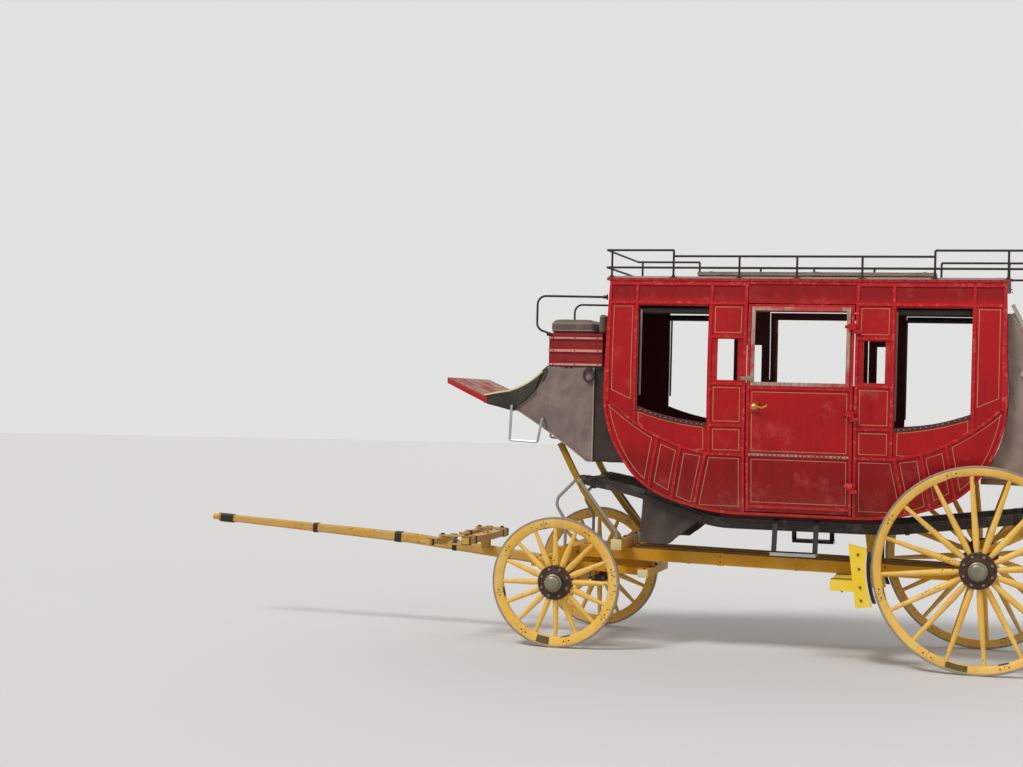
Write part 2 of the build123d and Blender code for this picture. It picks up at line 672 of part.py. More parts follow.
# Openings and posts, as stations out from the cabin's middle, the same fore and aft
DOOR_POST = DOOR_HALF + DOOR_GAP + MOULDING_WIDTH / 2 + 1.0
NARROW_INNER = DOOR_HALF + 76.0
NARROW_OUTER = NARROW_INNER + 164.0
QUARTER_POST = NARROW_OUTER + 56.0
QUARTER_INNER = QUARTER_POST + 20.0
END_POST = BODY_HALF_LENGTH - 254.0
QUARTER_OUTER = END_POST - 16.0
END_RAIL = BODY_HALF_LENGTH - 34.0
QUARTER_TOP = FRIEZE_Z - 24.0
NARROW_TOP = FRIEZE_Z - 285.0
NARROW_BOTTOM = 2185.0
DOOR_WINDOW_HALF = DOOR_HALF - 38.0
DOOR_WINDOW_BOTTOM = 2165.0
DOOR_WINDOW_TOP = DOOR_TOP - 60.0
SILL_INNER_Z = 1842.0
SILL_OUTER_Z = 1964.0
SILL_SAG = 22.0
BELT_Z = 1600.0
BELT_END_Z = 2001.0
BELT_SAG = 80.0


def hanging_arc(start, end, sag):
    """An arc between two points of a side sketch whose middle hangs below the chord by sag."""
    return ThreePointArc(start, ((start[0] + end[0]) / 2, (start[1] + end[1]) / 2 - sag), end)


def window_outlines():
    """The four openings beside the door, as (station, height)."""
    with BuildSketch() as openings:
        for side in (-1, 1):
            with BuildLine():
                top = Line((side * QUARTER_INNER, QUARTER_TOP), (side * QUARTER_OUTER, QUARTER_TOP))
                outer = Line(top @ 1, (side * QUARTER_OUTER, SILL_OUTER_Z))
                hanging_arc((side * QUARTER_OUTER, SILL_OUTER_Z), (side * QUARTER_INNER, SILL_INNER_Z), SILL_SAG)
                Line((side * QUARTER_INNER, SILL_INNER_Z), top @ 0)
            make_face()
            with Locations((side * (NARROW_INNER + NARROW_OUTER) / 2, (NARROW_TOP + NARROW_BOTTOM) / 2)):
                Rectangle(NARROW_OUTER - NARROW_INNER, NARROW_TOP - NARROW_BOTTOM)
    return openings.sketch.moved(Location((BODY_MIDDLE, 0)))


def door_outline(grow=0.0):
    """The door's own outline, or the opening that it needs when grown."""
    with BuildSketch() as outline:
        with Locations((BODY_MIDDLE, (DOOR_TOP + DOOR_BOTTOM) / 2)):
            Rectangle(2 * (DOOR_HALF + grow), DOOR_TOP - DOOR_BOTTOM + 2 * grow)
    return outline.sketch


def moulding_pattern():
    """Raised mouldings of the wall, as (station, height): rails, posts, belt and lower battens."""
    wide = MOULDING_WIDTH
    with BuildSketch() as pattern:
        for side in (-1, 1):
            # Posts. Columns: station from the middle, bottom
            for place, low in [
                (DOOR_POST, BODY_BOTTOM + 12), (QUARTER_POST, BELT_Z),
                (END_POST, BELT_Z + 212), (END_RAIL, BELT_END_Z - 6),
            ]:
                with Locations((side * place, (low + ROOF_Z - 12) / 2)):
                    Rectangle(wide, ROOF_Z - 12 - low)
            # Rails. Columns: inner and outer station from the middle, height
            for inner, outer, height in [
                (DOOR_POST, END_RAIL, FRIEZE_Z), (DOOR_POST, END_RAIL, ROOF_Z - 24),
                (DOOR_POST, QUARTER_POST, NARROW_TOP + 18), (DOOR_POST, QUARTER_POST, NARROW_BOTTOM - 26),
                (DOOR_POST, QUARTER_POST, SILL_INNER_Z - 14),
            ]:
                with Locations((side * (inner + outer) / 2, height)):
                    Rectangle(outer - inner + wide, wide)
            with BuildLine():
                low = BELT_Z - wide / 2
                start = (side * DOOR_POST, low)
                turn = (side * QUARTER_POST, low)
                end = (side * (BODY_HALF_LENGTH - 50), BELT_END_Z - wide / 2)
                Line(start, turn)
                hanging_arc(turn, end, BELT_SAG)
                Line(end, (end[0], end[1] + 1.3 * wide))
                hanging_arc((end[0], end[1] + 1.3 * wide), (turn[0], turn[1] + wide), BELT_SAG)
                Line((turn[0], turn[1] + wide), (start[0], start[1] + wide))
                Line((start[0], start[1] + wide), start)
            make_face()
            # Battens below the belt. Columns: reach past the quarter post, top over the belt, lean, foot over the floor
            for reach, top_rise, lean, foot_rise in [(27, 0, 97, 30), (227, 50, 77, 100), (412, 122, 75, 190)]:
                top_s = QUARTER_POST + reach
                Polygon(
                    (side * (top_s - wide / 2), BELT_Z + top_rise), (side * (top_s + wide / 2), BELT_Z + top_rise),
                    (side * (top_s + lean + wide / 2), BODY_BOTTOM + foot_rise),
                    (side * (top_s + lean - wide / 2), BODY_BOTTOM + foot_rise), align=None,
                )
    return pattern.sketch.moved(Location((BODY_MIDDLE, 0)))


# Door hinges: a knuckle on the door over a lug on the post, on the lug's pin
HINGE_RADIUS = 15.0
PIN_RADIUS = 6.0
HINGE_Y = -(WAIST_HALF + MOULDING_RISE + HINGE_RADIUS + 5.0)
HINGE_STATION = BODY_MIDDLE + DOOR_HALF + 3.0
KNUCKLE_HEIGHT = 46.0
LUG_HEIGHT = 30.0
KNUCKLE_GAP = 1.0
LUG_DROP = (KNUCKLE_HEIGHT + LUG_HEIGHT) / 2 + KNUCKLE_GAP
HINGE_ROOT_Y = -BOTTOM_HALF
HINGE_HEIGHTS = (DOOR_BOTTOM + 230.0, WAIST_Z - 60.0, DOOR_TOP - 170.0)


def hinge_leaf(height, tall, reach):
    """A hinge leaf from the wall out to its knuckle; reach is along the coach from the pin."""
    neck = reach / 3
    with BuildPart() as leaf:
        with BuildSketch(plan_plane(height - tall / 2)):
            with Locations((HINGE_STATION, HINGE_Y)):
                Circle(HINGE_RADIUS)
            Polygon(
                (HINGE_STATION, HINGE_Y - HINGE_RADIUS), (HINGE_STATION, HINGE_Y + HINGE_RADIUS),
                (HINGE_STATION + neck, HINGE_Y + HINGE_RADIUS), (HINGE_STATION + neck, HINGE_ROOT_Y),
                (HINGE_STATION + reach, HINGE_ROOT_Y), (HINGE_STATION + reach, HINGE_Y - HINGE_RADIUS / 3),
                align=None,
            )
        extrude(amount=tall)
        add(inner_section_block.part, mode=Mode.SUBTRACT)
    return leaf.part


with BuildPart() as side_wall:
    add(body_block.part)
    add(section_block.part, mode=Mode.INTERSECT)
    add(inner_section_block.part, mode=Mode.SUBTRACT)
    split(bisect_by=Plane.XZ.offset(100), keep=Keep.TOP)
    with BuildSketch(side_plane()):
        add(window_outlines())
        add(door_outline(DOOR_GAP))
    extrude(amount=REACH_OUT, mode=Mode.SUBTRACT)
    with BuildPart(mode=Mode.PRIVATE) as mouldings:
        with BuildSketch(side_plane()):
            # The rim moulding follows the whole outline of the side
            add(side_outline())
            add(side_outline(MOULDING_WIDTH), mode=Mode.SUBTRACT)
            add(moulding_pattern())
            add(side_outline(), mode=Mode.INTERSECT)
        extrude(amount=REACH_OUT)
        add(moulding_block.part, mode=Mode.INTERSECT)
    add(mouldings.part)
    for height in HINGE_HEIGHTS:
        add(hinge_leaf(height - LUG_DROP, LUG_HEIGHT, 3 * HINGE_RADIUS))
        with BuildSketch(plan_plane(height - LUG_DROP)):
            with Locations((HINGE_STATION, HINGE_Y)):
                Circle(PIN_RADIUS)
        extrude(amount=LUG_DROP + KNUCKLE_HEIGHT / 2 + PIN_RADIUS)
save_pair(side_wall, "side_wall")

with BuildPart() as door:
    with BuildSketch(side_plane()):
        add(door_outline())
    extrude(amount=REACH_OUT)
    add(section_block.part, mode=Mode.INTERSECT)
    add(inner_section_block.part, mode=Mode.SUBTRACT)
    with BuildSketch(side_plane()):
        with Locations((BODY_MIDDLE, (DOOR_WINDOW_BOTTOM + DOOR_WINDOW_TOP) / 2)):
            Rectangle(2 * DOOR_WINDOW_HALF, DOOR_WINDOW_TOP - DOOR_WINDOW_BOTTOM)
    extrude(amount=REACH_OUT, mode=Mode.SUBTRACT)
    with BuildPart(mode=Mode.PRIVATE) as door_mouldings:
        with BuildSketch(side_plane()):
            # Rails across the door. Columns: height, width
            for height, width in [(DOOR_BOTTOM + 40, 24), (BELT_Z, 24), (DOOR_WINDOW_BOTTOM - 34, 24), (DOOR_TOP - 14, 28)]:
                with Locations((BODY_MIDDLE, height)):
                    Rectangle(2 * DOOR_HALF, width)
            for side in (-1, 1):
                with Locations((BODY_MIDDLE + side * (DOOR_HALF - MOULDING_WIDTH / 2), (DOOR_TOP + DOOR_BOTTOM) / 2)):
                    Rectangle(MOULDING_WIDTH, DOOR_TOP - DOOR_BOTTOM)
        extrude(amount=REACH_OUT)
        add(moulding_block.part, mode=Mode.INTERSECT)
    add(door_mouldings.part)
    for height in HINGE_HEIGHTS:
        add(hinge_leaf(height, KNUCKLE_HEIGHT, -3 * HINGE_RADIUS))
        with BuildSketch(plan_plane(height - KNUCKLE_HEIGHT)):
            with Locations((HINGE_STATION, HINGE_Y)):
                Circle(PIN_RADIUS + RUNNING_CLEARANCE)
        extrude(amount=2 * KNUCKLE_HEIGHT, mode=Mode.SUBTRACT)
save_pair(door, "door")

# Latch: a plate and lever at the door's front edge
LATCH_Z = 1980.0
LATCH_STATION = BODY_MIDDLE - DOOR_HALF + 62.0
with BuildPart() as latch:
    with BuildSketch(side_plane(-WAIST_HALF - 3)):
        with Locations((LATCH_STATION, LATCH_Z)):
            Rectangle(76, 84)
    extrude(amount=10)
    with BuildSketch(side_plane(-WAIST_HALF - 10)):
        with Locations((LATCH_STATION, LATCH_Z)):
            Circle(13)
    extrude(amount=36)
    with BuildSketch(side_plane(-WAIST_HALF - 34)):
        with Locations((LATCH_STATION + 40, LATCH_Z)):
            Trapezoid(26, 116, 84, rotation=-90)
    extrude(amount=10)
save_pair(latch, "latch")

# Ends, floor and roof between the side walls, parted where the real panels meet
BELLY_TOP = BODY_BOTTOM + TURN_TOE[1]
with BuildPart() as end_band:
    add(body_block.part)
    with BuildSketch(cross_plane()):
        add(cross_outline(WALL + SEAT_GAP))
    extrude(amount=REACH_BACK, mode=Mode.INTERSECT)
    add(inner_body_block.part, mode=Mode.SUBTRACT)
    # The roof is its own piece, so nothing spans between the two ends at the top
    with BuildSketch(side_plane()):
        with Locations((BODY_MIDDLE, ROOF_Z)):
            Rectangle(2 * (ROOF_HALF_LENGTH - WALL), 2 * WALL + 20)
    extrude(amount=REACH_OUT, both=True, mode=Mode.SUBTRACT)


def slice_band(low_station, high_station, low, high):
    """The part of the end band between two stations and two heights."""
    with BuildPart() as piece:
        add(end_band.part)
        with BuildSketch(side_plane()):
            Polygon((low_station, low), (high_station, low), (high_station, high), (low_station, high), align=None)
        extrude(amount=REACH_OUT, both=True, mode=Mode.INTERSECT)
    return piece


front_wall = slice_band(CABIN_FRONT - 10, BODY_MIDDLE, BELLY_TOP + SEAT_GAP, ROOF_Z + 10)
save(front_wall, "front_wall")
rear_wall = slice_band(BODY_MIDDLE, CABIN_REAR + 10, BELLY_TOP + SEAT_GAP, ROOF_Z + 10)
save(rear_wall, "rear_wall")

BEARER_HALF = BRACE_FLAT_HALF - 60.0
with BuildPart() as floor:
    add(slice_band(CABIN_FRONT - 10, CABIN_REAR + 10, BODY_BOTTOM - 10, BELLY_TOP).part)
    # Bearers that rest on the thoroughbraces
    for side in (-1, 1):
        with BuildSketch(plan_plane(BODY_BOTTOM - BEARER_HEIGHT + SEAT_GAP)):
            with Locations((BODY_MIDDLE, side * BRACE_Y)):
                Rectangle(2 * BEARER_HALF, BRACE_WIDTH - 4)
        extrude(amount=BEARER_HEIGHT + WALL / 2)
save(floor, "floor")

# Roof and the iron rails on it
ROOF_LIP = 22.0
ROOF_EDGE = 20.0
ROOF_CROWN = 52.0
RAIL_HALF = 596.0
RAIL_RADIUS = 9.0
RAIL_FRONT = CABIN_FRONT - 15.0
RAIL_STEP = CABIN_FRONT + 530.0
RAIL_REAR_STEP = CABIN_REAR - 560.0
RAIL_END = CABIN_REAR + 435.0
RAIL_HIGH = ROOF_Z + 248.0
RAIL_TOP = ROOF_Z + 200.0
RAIL_LOW = ROOF_Z + 108.0
RAIL_BASE = ROOF_Z + 8.0
# Posts. Columns: station, top of the post
RAIL_POSTS = [
    (RAIL_FRONT + 40, RAIL_HIGH), (RAIL_STEP, RAIL_HIGH), (BODY_MIDDLE - 505, RAIL_TOP), (BODY_MIDDLE - 50, RAIL_TOP),
    (BODY_MIDDLE + 455, RAIL_TOP), (RAIL_REAR_STEP, RAIL_HIGH), (CABIN_REAR - 15, RAIL_HIGH),
]


def roof_section(half, base, edge, crown):
    """A crowned slab's section, as (y, height)."""
    with BuildSketch() as section:
        with BuildLine():
            Line((-half, edge), (-half, base))
            Line((-half, base), (half, base))
            Line((half, base), (half, edge))
            ThreePointArc((half, edge), (0, edge + crown), (-half, edge))
        make_face()
    return section.sketch


ROOF_FRAME = WALL + 12.0
with BuildPart() as roof:
    with BuildSketch(cross_plane(BODY_MIDDLE - ROOF_HALF_LENGTH - ROOF_LIP)):
        add(roof_section(ROOF_HALF + ROOF_LIP, ROOF_Z + SEAT_GAP, ROOF_Z + ROOF_EDGE, ROOF_CROWN))
    extrude(amount=2 * (ROOF_HALF_LENGTH + ROOF_LIP))
    # Hollow beneath, between solid end rails
    with BuildSketch(cross_plane(BODY_MIDDLE - ROOF_HALF_LENGTH + ROOF_FRAME)):
        add(roof_section(ROOF_HALF - ROOF_FRAME, ROOF_Z - 10, ROOF_Z + 4, ROOF_CROWN - 8))
    extrude(amount=2 * (ROOF_HALF_LENGTH - ROOF_FRAME), mode=Mode.SUBTRACT)
    with BuildSketch(plan_plane(RAIL_BASE)):
        for station, top in RAIL_POSTS:
            with Locations((station, -RAIL_HALF), (station, RAIL_HALF)):
                RegularPolygon(RAIL_RADIUS + SEAT_GAP, ROD_FLAT_COUNT)
    extrude(amount=100, mode=Mode.SUBTRACT)
save(roof, "roof")

with BuildPart() as roof_rail:
    for side in (-1, 1):
        y = side * RAIL_HALF
        # Long rails. Columns: first station, last station, height
        for start, stop, height in [
            (RAIL_FRONT, RAIL_STEP, RAIL_HIGH), (RAIL_FRONT, RAIL_END, RAIL_LOW), (RAIL_STEP, RAIL_REAR_STEP, RAIL_TOP),
            (RAIL_REAR_STEP, RAIL_END, RAIL_HIGH),
        ]:
            add(rod([(start, y, height), (stop, y, height)], RAIL_RADIUS))
        for station, top in RAIL_POSTS:
            with BuildSketch(plan_plane(RAIL_BASE)):
                with Locations((station, y)):
                    RegularPolygon(RAIL_RADIUS, ROD_FLAT_COUNT)
            extrude(amount=top - RAIL_BASE)
        add(rod([(RAIL_END, y, RAIL_LOW), (RAIL_END, y, RAIL_HIGH)], RAIL_RADIUS))
    for height in (RAIL_LOW, RAIL_HIGH):
        for station in (RAIL_FRONT, RAIL_END):
            add(rod([(station, -RAIL_HALF, height), (station, RAIL_HALF, height)], RAIL_RADIUS))
save(roof_rail, "roof_rail")

PLANK_LENGTH = 1900.0
PLANK_WIDTH = 240.0
PLANK_THICKNESS = 30.0
with BuildPart() as plank:
    with BuildSketch(plan_plane(ROOF_Z + ROOF_EDGE + ROOF_CROWN + SEAT_GAP)):
        with Locations((BODY_MIDDLE + 50, -150)):
            Rectangle(PLANK_LENGTH, PLANK_WIDTH)
    extrude(amount=PLANK_THICKNESS)
save(plank, "roof_plank")

# Benches inside and their cushions
BENCH_Z = 1560.0
BENCH_HALF = 560.0
BENCH_DEPTH = 380.0
BENCH_BOARD = 28.0
BENCH_SPREAD = BODY_HALF_LENGTH - 445.0
CUSHION_THICKNESS = 70.0
BENCHES = (BODY_MIDDLE - BENCH_SPREAD, BODY_MIDDLE, BODY_MIDDLE + BENCH_SPREAD)
with BuildPart() as benches:
    for station in BENCHES:
        with BuildSketch(plan_plane(BENCH_Z)):
            with Locations((station, 0)):
                Rectangle(BENCH_DEPTH, 2 * BENCH_HALF)
        extrude(amount=-BENCH_BOARD)
        with BuildSketch(plan_plane(BENCH_Z - BENCH_BOARD)):
            with Locations((station, -BENCH_HALF + 80), (station, BENCH_HALF - 80)):
                Rectangle(200, 40)
        extrude(amount=-(BENCH_Z - BENCH_BOARD - BODY_BOTTOM))
    with BuildSketch(side_plane()):
        add(side_outline(WALL + SEAT_GAP))
    extrude(amount=WAIST_HALF, both=True, mode=Mode.INTERSECT)
save(benches, "benches")

with BuildPart() as cushions:
    for station in BENCHES:
        with BuildSketch(plan_plane(BENCH_Z + SEAT_GAP)):
            with Locations((station, 0)):
                Rectangle(BENCH_DEPTH - 10, 2 * BENCH_HALF - 10)
        extrude(amount=CUSHION_THICKNESS)
save(cushions, "cabin_cushions")

# Driver's seat on the front boot, placed from the cabin's front
BOOT_HALF = 600.0
SEAT_Z = 2515.0
SEAT_FRONT = CABIN_FRONT - 505.0
SEAT_REAR = CABIN_FRONT - 35.0
SEAT_BOX_DEPTH = 245.0
SEAT_BOX_BOTTOM = SEAT_Z - SEAT_BOX_DEPTH
SEAT_BOARD = 24.0
SEAT_OVERHANG = 15.0
SEAT_TOP = SEAT_Z + SEAT_BOARD + SEAT_GAP
BATTEN_RISE = 12.0

with BuildPart() as seat_box:
    with BuildSketch(plan_plane(SEAT_BOX_BOTTOM)):
        with Locations(((SEAT_FRONT + SEAT_REAR) / 2 + 10, 0)):
            Rectangle(SEAT_REAR - SEAT_FRONT - 20, 2 * BOOT_HALF)
            Rectangle(SEAT_REAR - SEAT_FRONT - 76, 2 * BOOT_HALF - 56, mode=Mode.SUBTRACT)
    extrude(amount=SEAT_BOX_DEPTH - SEAT_GAP)
    # Battens on the box's sides. Columns: share of its depth, width
    for share, width in [(0.06, 20.0), (0.52, 24.0), (0.94, 20.0)]:
        for side in (-1, 1):
            with BuildSketch(side_plane(side * BOOT_HALF)):
                with Locations(((SEAT_FRONT + SEAT_REAR) / 2 + 10, SEAT_BOX_BOTTOM + share * SEAT_BOX_DEPTH)):
                    Rectangle(SEAT_REAR - SEAT_FRONT - 20, width)
            extrude(amount=-side * BATTEN_RISE)
save(seat_box, "seat_box")

with BuildPart() as seat_board:
    with BuildSketch(plan_plane(SEAT_Z)):
        with Locations(((SEAT_FRONT + SEAT_REAR) / 2, 0)):
            Rectangle(SEAT_REAR - SEAT_FRONT, 2 * (BOOT_HALF + SEAT_OVERHANG))
    extrude(amount=SEAT_BOARD)
save(seat_board, "seat_board")

DRIVER_CUSHION_DEPTH = 390.0
DRIVER_CUSHION_HEIGHT = 112.0
BACKREST_HEIGHT = 170.0
with BuildPart() as driver_cushion:
    with BuildSketch(plan_plane(SEAT_TOP)):
        with Locations((SEAT_FRONT + DRIVER_CUSHION_DEPTH / 2 + 5, 0)):
            Rectangle(DRIVER_CUSHION_DEPTH, 2 * BOOT_HALF - 40)
    extrude(amount=DRIVER_CUSHION_HEIGHT)
save(driver_cushion, "driver_cushion")

with BuildPart() as backrest:
    with BuildSketch(side_plane()):
        Polygon(
            (SEAT_REAR - 50, SEAT_TOP), (SEAT_REAR + 18, SEAT_TOP), (SEAT_REAR + 18, SEAT_TOP + BACKREST_HEIGHT),
            (SEAT_REAR - 30, SEAT_TOP + BACKREST_HEIGHT), align=None,
        )
    extrude(amount=BOOT_HALF - 30, both=True)
save(backrest, "driver_backrest")

SEAT_RAIL_Y = BOOT_HALF + SEAT_OVERHANG + RAIL_RADIUS + SEAT_GAP
with BuildPart() as seat_rail:
    add(rod(
        [(SEAT_FRONT + 50, -SEAT_RAIL_Y, SEAT_Z + 12), (SEAT_FRONT - 80, -SEAT_RAIL_Y, SEAT_Z + 55),
         (SEAT_FRONT - 80, -SEAT_RAIL_Y, SEAT_Z + 325), (CABIN_FRONT - 4, -SEAT_RAIL_Y, SEAT_Z + 320)],
        RAIL_RADIUS, 70,
    ))
save_both(seat_rail, "seat_rails")

BOOT_TOP = SEAT_BOX_BOTTOM - SEAT_GAP
BOOT_BOTTOM = 1500.0
BOOT_TOE = (CABIN_FRONT - 765.0, BOOT_TOP - 355.0)
BOOT_FRONT = CABIN_FRONT - 495.0
BOOT_HEEL = CABIN_FRONT - 145.0
BOOT_TUCK = CABIN_FRONT + 205.0
with BuildPart() as front_boot:
    with BuildSketch(side_plane()):
        # Foot well ahead, rounded belly below, and the cabin's own curve behind
        with BuildLine():
            Line((BOOT_TUCK, BOOT_BOTTOM), (BOOT_TUCK, BOOT_TOP))
            Line((BOOT_TUCK, BOOT_TOP), (BOOT_FRONT, BOOT_TOP))
            ThreePointArc((BOOT_FRONT, BOOT_TOP), (BOOT_FRONT - 90, BOOT_TOP - 195), BOOT_TOE)
            ThreePointArc(BOOT_TOE, (CABIN_FRONT - 445, BOOT_BOTTOM + 215), (BOOT_HEEL, BOOT_BOTTOM))
            Line((BOOT_HEEL, BOOT_BOTTOM), (BOOT_TUCK, BOOT_BOTTOM))
        make_face()
        add(side_outline(-SEAT_GAP), mode=Mode.SUBTRACT)
    extrude(amount=BOOT_HALF, both=True)
save(front_boot, "front_boot")

# Footboard: planks across two battens, rising forwards from the boot's toe
FOOT_REAR = (BOOT_TOE[0] - 230.0, BOOT_TOE[1] + 88.0)
FOOT_RUN = 362.0
FOOT_RISE = 156.0
FOOT_PLANK_COUNT = 4
FOOT_THICKNESS = 26.0
FOOT_CRACK = 0.05
FOOT_BATTEN = 28.0


def along_foot(share, drop=0.0):
    """A point a share of the way up the footboard, dropped below its top, as (station, height)."""
    return (FOOT_REAR[0] - share * FOOT_RUN, FOOT_REAR[1] + share * FOOT_RISE - drop)


with BuildPart() as footboard:
    for plank_number in range(FOOT_PLANK_COUNT):
        low = plank_number / FOOT_PLANK_COUNT
        high = (plank_number + 1 - FOOT_CRACK) / FOOT_PLANK_COUNT
        with BuildSketch(side_plane()):
            Polygon(
                along_foot(low), along_foot(high), along_foot(high, FOOT_THICKNESS), along_foot(low, FOOT_THICKNESS),
                align=None,
            )
        extrude(amount=BOOT_HALF, both=True)
    for side in (-1, 1):
        with BuildSketch(side_plane(side * BOOT_HALF)):
            Polygon(
                along_foot(0, 2), along_foot(0.97, 2), along_foot(0.97, FOOT_THICKNESS + 20),
                along_foot(0, FOOT_THICKNESS + 34), align=None,
            )
        extrude(amount=side * FOOT_BATTEN)
    # The level floor back to the boot's toe
    with BuildSketch(side_plane()):
        Polygon(
            along_foot(0), (BOOT_TOE[0] - 10, BOOT_TOE[1] + 14), (BOOT_TOE[0] - 10, BOOT_TOE[1] - 20),
            along_foot(0, FOOT_THICKNESS + 34), align=None,
        )
    extrude(amount=BOOT_HALF, both=True)
save(footboard, "footboard")

DASH_THICKNESS = 24.0
with BuildPart() as dash:
    with BuildSketch(side_plane(-BOOT_HALF - SEAT_GAP)):
        with BuildLine():
            front_low = (BOOT_TOE[0] - 260, BOOT_TOE[1] + 40)
            front_high = (BOOT_TOE[0] - 260, BOOT_TOE[1] + 108)
            bend = (BOOT_TOE[0] - 50, BOOT_TOE[1] + 148)
            top = (BOOT_FRONT - 40, BOOT_TOP - 42)
            Line(front_low, front_high)
            ThreePointArc(front_high, (BOOT_TOE[0] - 160, BOOT_TOE[1] + 130), bend)
            ThreePointArc(bend, (BOOT_TOE[0] + 100, BOOT_TOE[1] + 212), top)
            Line(top, (BOOT_FRONT - 100, BOOT_TOP - 205))
            Line((BOOT_FRONT - 100, BOOT_TOP - 205), (BOOT_TOE[0] - 10, BOOT_TOE[1] - 22))
            Line((BOOT_TOE[0] - 10, BOOT_TOE[1] - 22), front_low)
        make_face()
    extrude(amount=DASH_THICKNESS)
save_both(dash, "dash_sides")

STIRRUP_RADIUS = 11.0
STIRRUP_Y = BOOT_HALF + 50.0
STIRRUP_BOTTOM = BOOT_TOE[1] - 270.0
with BuildPart() as stirrup:
    add(rod(
        [(BOOT_TOE[0] - 12, -BOOT_HALF - DASH_THICKNESS - 2 * SEAT_GAP, BOOT_TOE[1] + 24),
         (BOOT_TOE[0] - 12, -STIRRUP_Y, BOOT_TOE[1] + 24), (BOOT_TOE[0] - 22, -STIRRUP_Y, STIRRUP_BOTTOM + 10),
         (BOOT_TOE[0] + 215, -STIRRUP_Y, STIRRUP_BOTTOM), (BOOT_TOE[0] + 250, -STIRRUP_Y, STIRRUP_BOTTOM + 195),
         (BOOT_TOE[0] + 250, -BOOT_HALF - SEAT_GAP, STIRRUP_BOTTOM + 195)],
        STIRRUP_RADIUS, 18,
    ))
save_both(stirrup, "stirrup_steps")

# Brake lever on the right side of the boot, on a pivot
LEVER_Y = BOOT_HALF + 60.0
LEVER_RADIUS = 16.0
LEVER_FOOT = (CABIN_FRONT - 415.0, BOOT_BOTTOM + 60.0)
LEVER_HEAD = (CABIN_FRONT - 665.0, SEAT_Z - 15.0)
PIVOT_SHARE = 0.4
with BuildPart() as lever:
    add(rod([(LEVER_FOOT[0], LEVER_Y, LEVER_FOOT[1]), (LEVER_HEAD[0], LEVER_Y, LEVER_HEAD[1])], LEVER_RADIUS))
    with BuildSketch(side_plane(LEVER_Y)):
        with Locations((
            LEVER_FOOT[0] + PIVOT_SHARE * (LEVER_HEAD[0] - LEVER_FOOT[0]),
            LEVER_FOOT[1] + PIVOT_SHARE * (LEVER_HEAD[1] - LEVER_FOOT[1]),
        )):
            Circle(LEVER_RADIUS)
    extrude(amount=LEVER_Y - BOOT_HALF - SEAT_GAP)
save(lever, "brake_lever")

# Rear boot: a platform behind the cabin under a hood of canvas
PLATFORM_Z = 1470.0
PLATFORM_THICKNESS = 36.0
PLATFORM_FRONT = CABIN_REAR - 185.0
HOOD_TOP = 2740.0
HOOD_BULGE = 335.0
HOOD_BULGE_DROP = 470.0
HOOD_HEM_DROP = 980.0
HOOD_REAR = TAIL_REACH - 50.0
with BuildPart() as platform:
    with BuildSketch(plan_plane(PLATFORM_Z - PLATFORM_THICKNESS)):
        with Locations(((PLATFORM_FRONT + TAIL_REACH) / 2, 0)):
            Rectangle(TAIL_REACH - PLATFORM_FRONT, 2 * BOOT_HALF)
    extrude(amount=PLATFORM_THICKNESS)
    with BuildSketch(side_plane()):
        add(side_outline(-SEAT_GAP))
    extrude(amount=BOOT_HALF, both=True, mode=Mode.SUBTRACT)
save(platform, "rear_platform")

with BuildPart() as rear_boot:
    with BuildSketch(side_plane()):
        with BuildLine():
            low = PLATFORM_Z + SEAT_GAP
            Line((PLATFORM_FRONT, low), (PLATFORM_FRONT, HOOD_TOP))
            Line((PLATFORM_FRONT, HOOD_TOP), (CABIN_REAR, HOOD_TOP))
            hood = ThreePointArc(
                (CABIN_REAR, HOOD_TOP), (CABIN_REAR + HOOD_BULGE, HOOD_TOP - HOOD_BULGE_DROP),
                (HOOD_REAR - 20, HOOD_TOP - HOOD_HEM_DROP),
            )
            Line(hood @ 1, (HOOD_REAR, low))
            Line((HOOD_REAR, low), (PLATFORM_FRONT, low))
        make_face()
        add(side_outline(-3), mode=Mode.SUBTRACT)
    extrude(amount=BOOT_HALF - 10, both=True)
save(rear_boot, "rear_boot")

# Steps under the doors and the canvas flaps outside the thoroughbraces
STEP_Z = 826.0
STEP_BOARD = 26.0
STEP_ARM = 40.0
with BuildPart() as door_step:
    for station in (BODY_MIDDLE - 170, BODY_MIDDLE + 150):
        add(bar(
            [(station, -BOTTOM_HALF + 40, BODY_BOTTOM - SEAT_GAP), (station, -BOTTOM_HALF + 40, BODY_BOTTOM - 24),
             (station, -BOTTOM_HALF - 60, BODY_BOTTOM - 60), (station, -BOTTOM_HALF - 110, STEP_Z + STEP_BOARD)],
            8, STEP_ARM,
        ))
    with BuildSketch(plan_plane(STEP_Z)):
        with Locations((BODY_MIDDLE - 10, -BOTTOM_HALF - 148)):
            Rectangle(346, 150)
            Rectangle(286, 90, mode=Mode.SUBTRACT)
    extrude(amount=STEP_BOARD)
    with BuildSketch(plan_plane(STEP_Z)):
        with Locations((BODY_MIDDLE - 10, -BOTTOM_HALF - 148)):
            Rectangle(346, 30)
    extrude(amount=STEP_BOARD - 6)
save_both(door_step, "door_steps")

FLAP_Y = -(BRACE_Y + BRACE_WIDTH / 2 + SEAT_GAP)
FLAP_THICKNESS = 8.0
with BuildPart() as flap:
    with BuildSketch(side_plane(FLAP_Y)):
        Polygon(
            (CABIN_FRONT + 300, FRONT_HOOK[1] - 92), (CABIN_FRONT + 285, 860), (CABIN_FRONT + 525, 850),
            (CABIN_FRONT + 810, BRACE_FLAT_Z + 50), align=None,
        )
    extrude(amount=FLAP_THICKNESS)
save_both(flap, "mud_flaps")
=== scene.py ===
"""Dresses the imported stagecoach: finishes, fittings, soft goods, floor, light and camera, in metres."""
import logging
import math
from dataclasses import dataclass, field
from enum import Enum
from functools import cached_property
from typing import Callable, Iterable, Sequence

import bmesh
import bpy
from mathutils import Euler, Matrix, Vector, noise


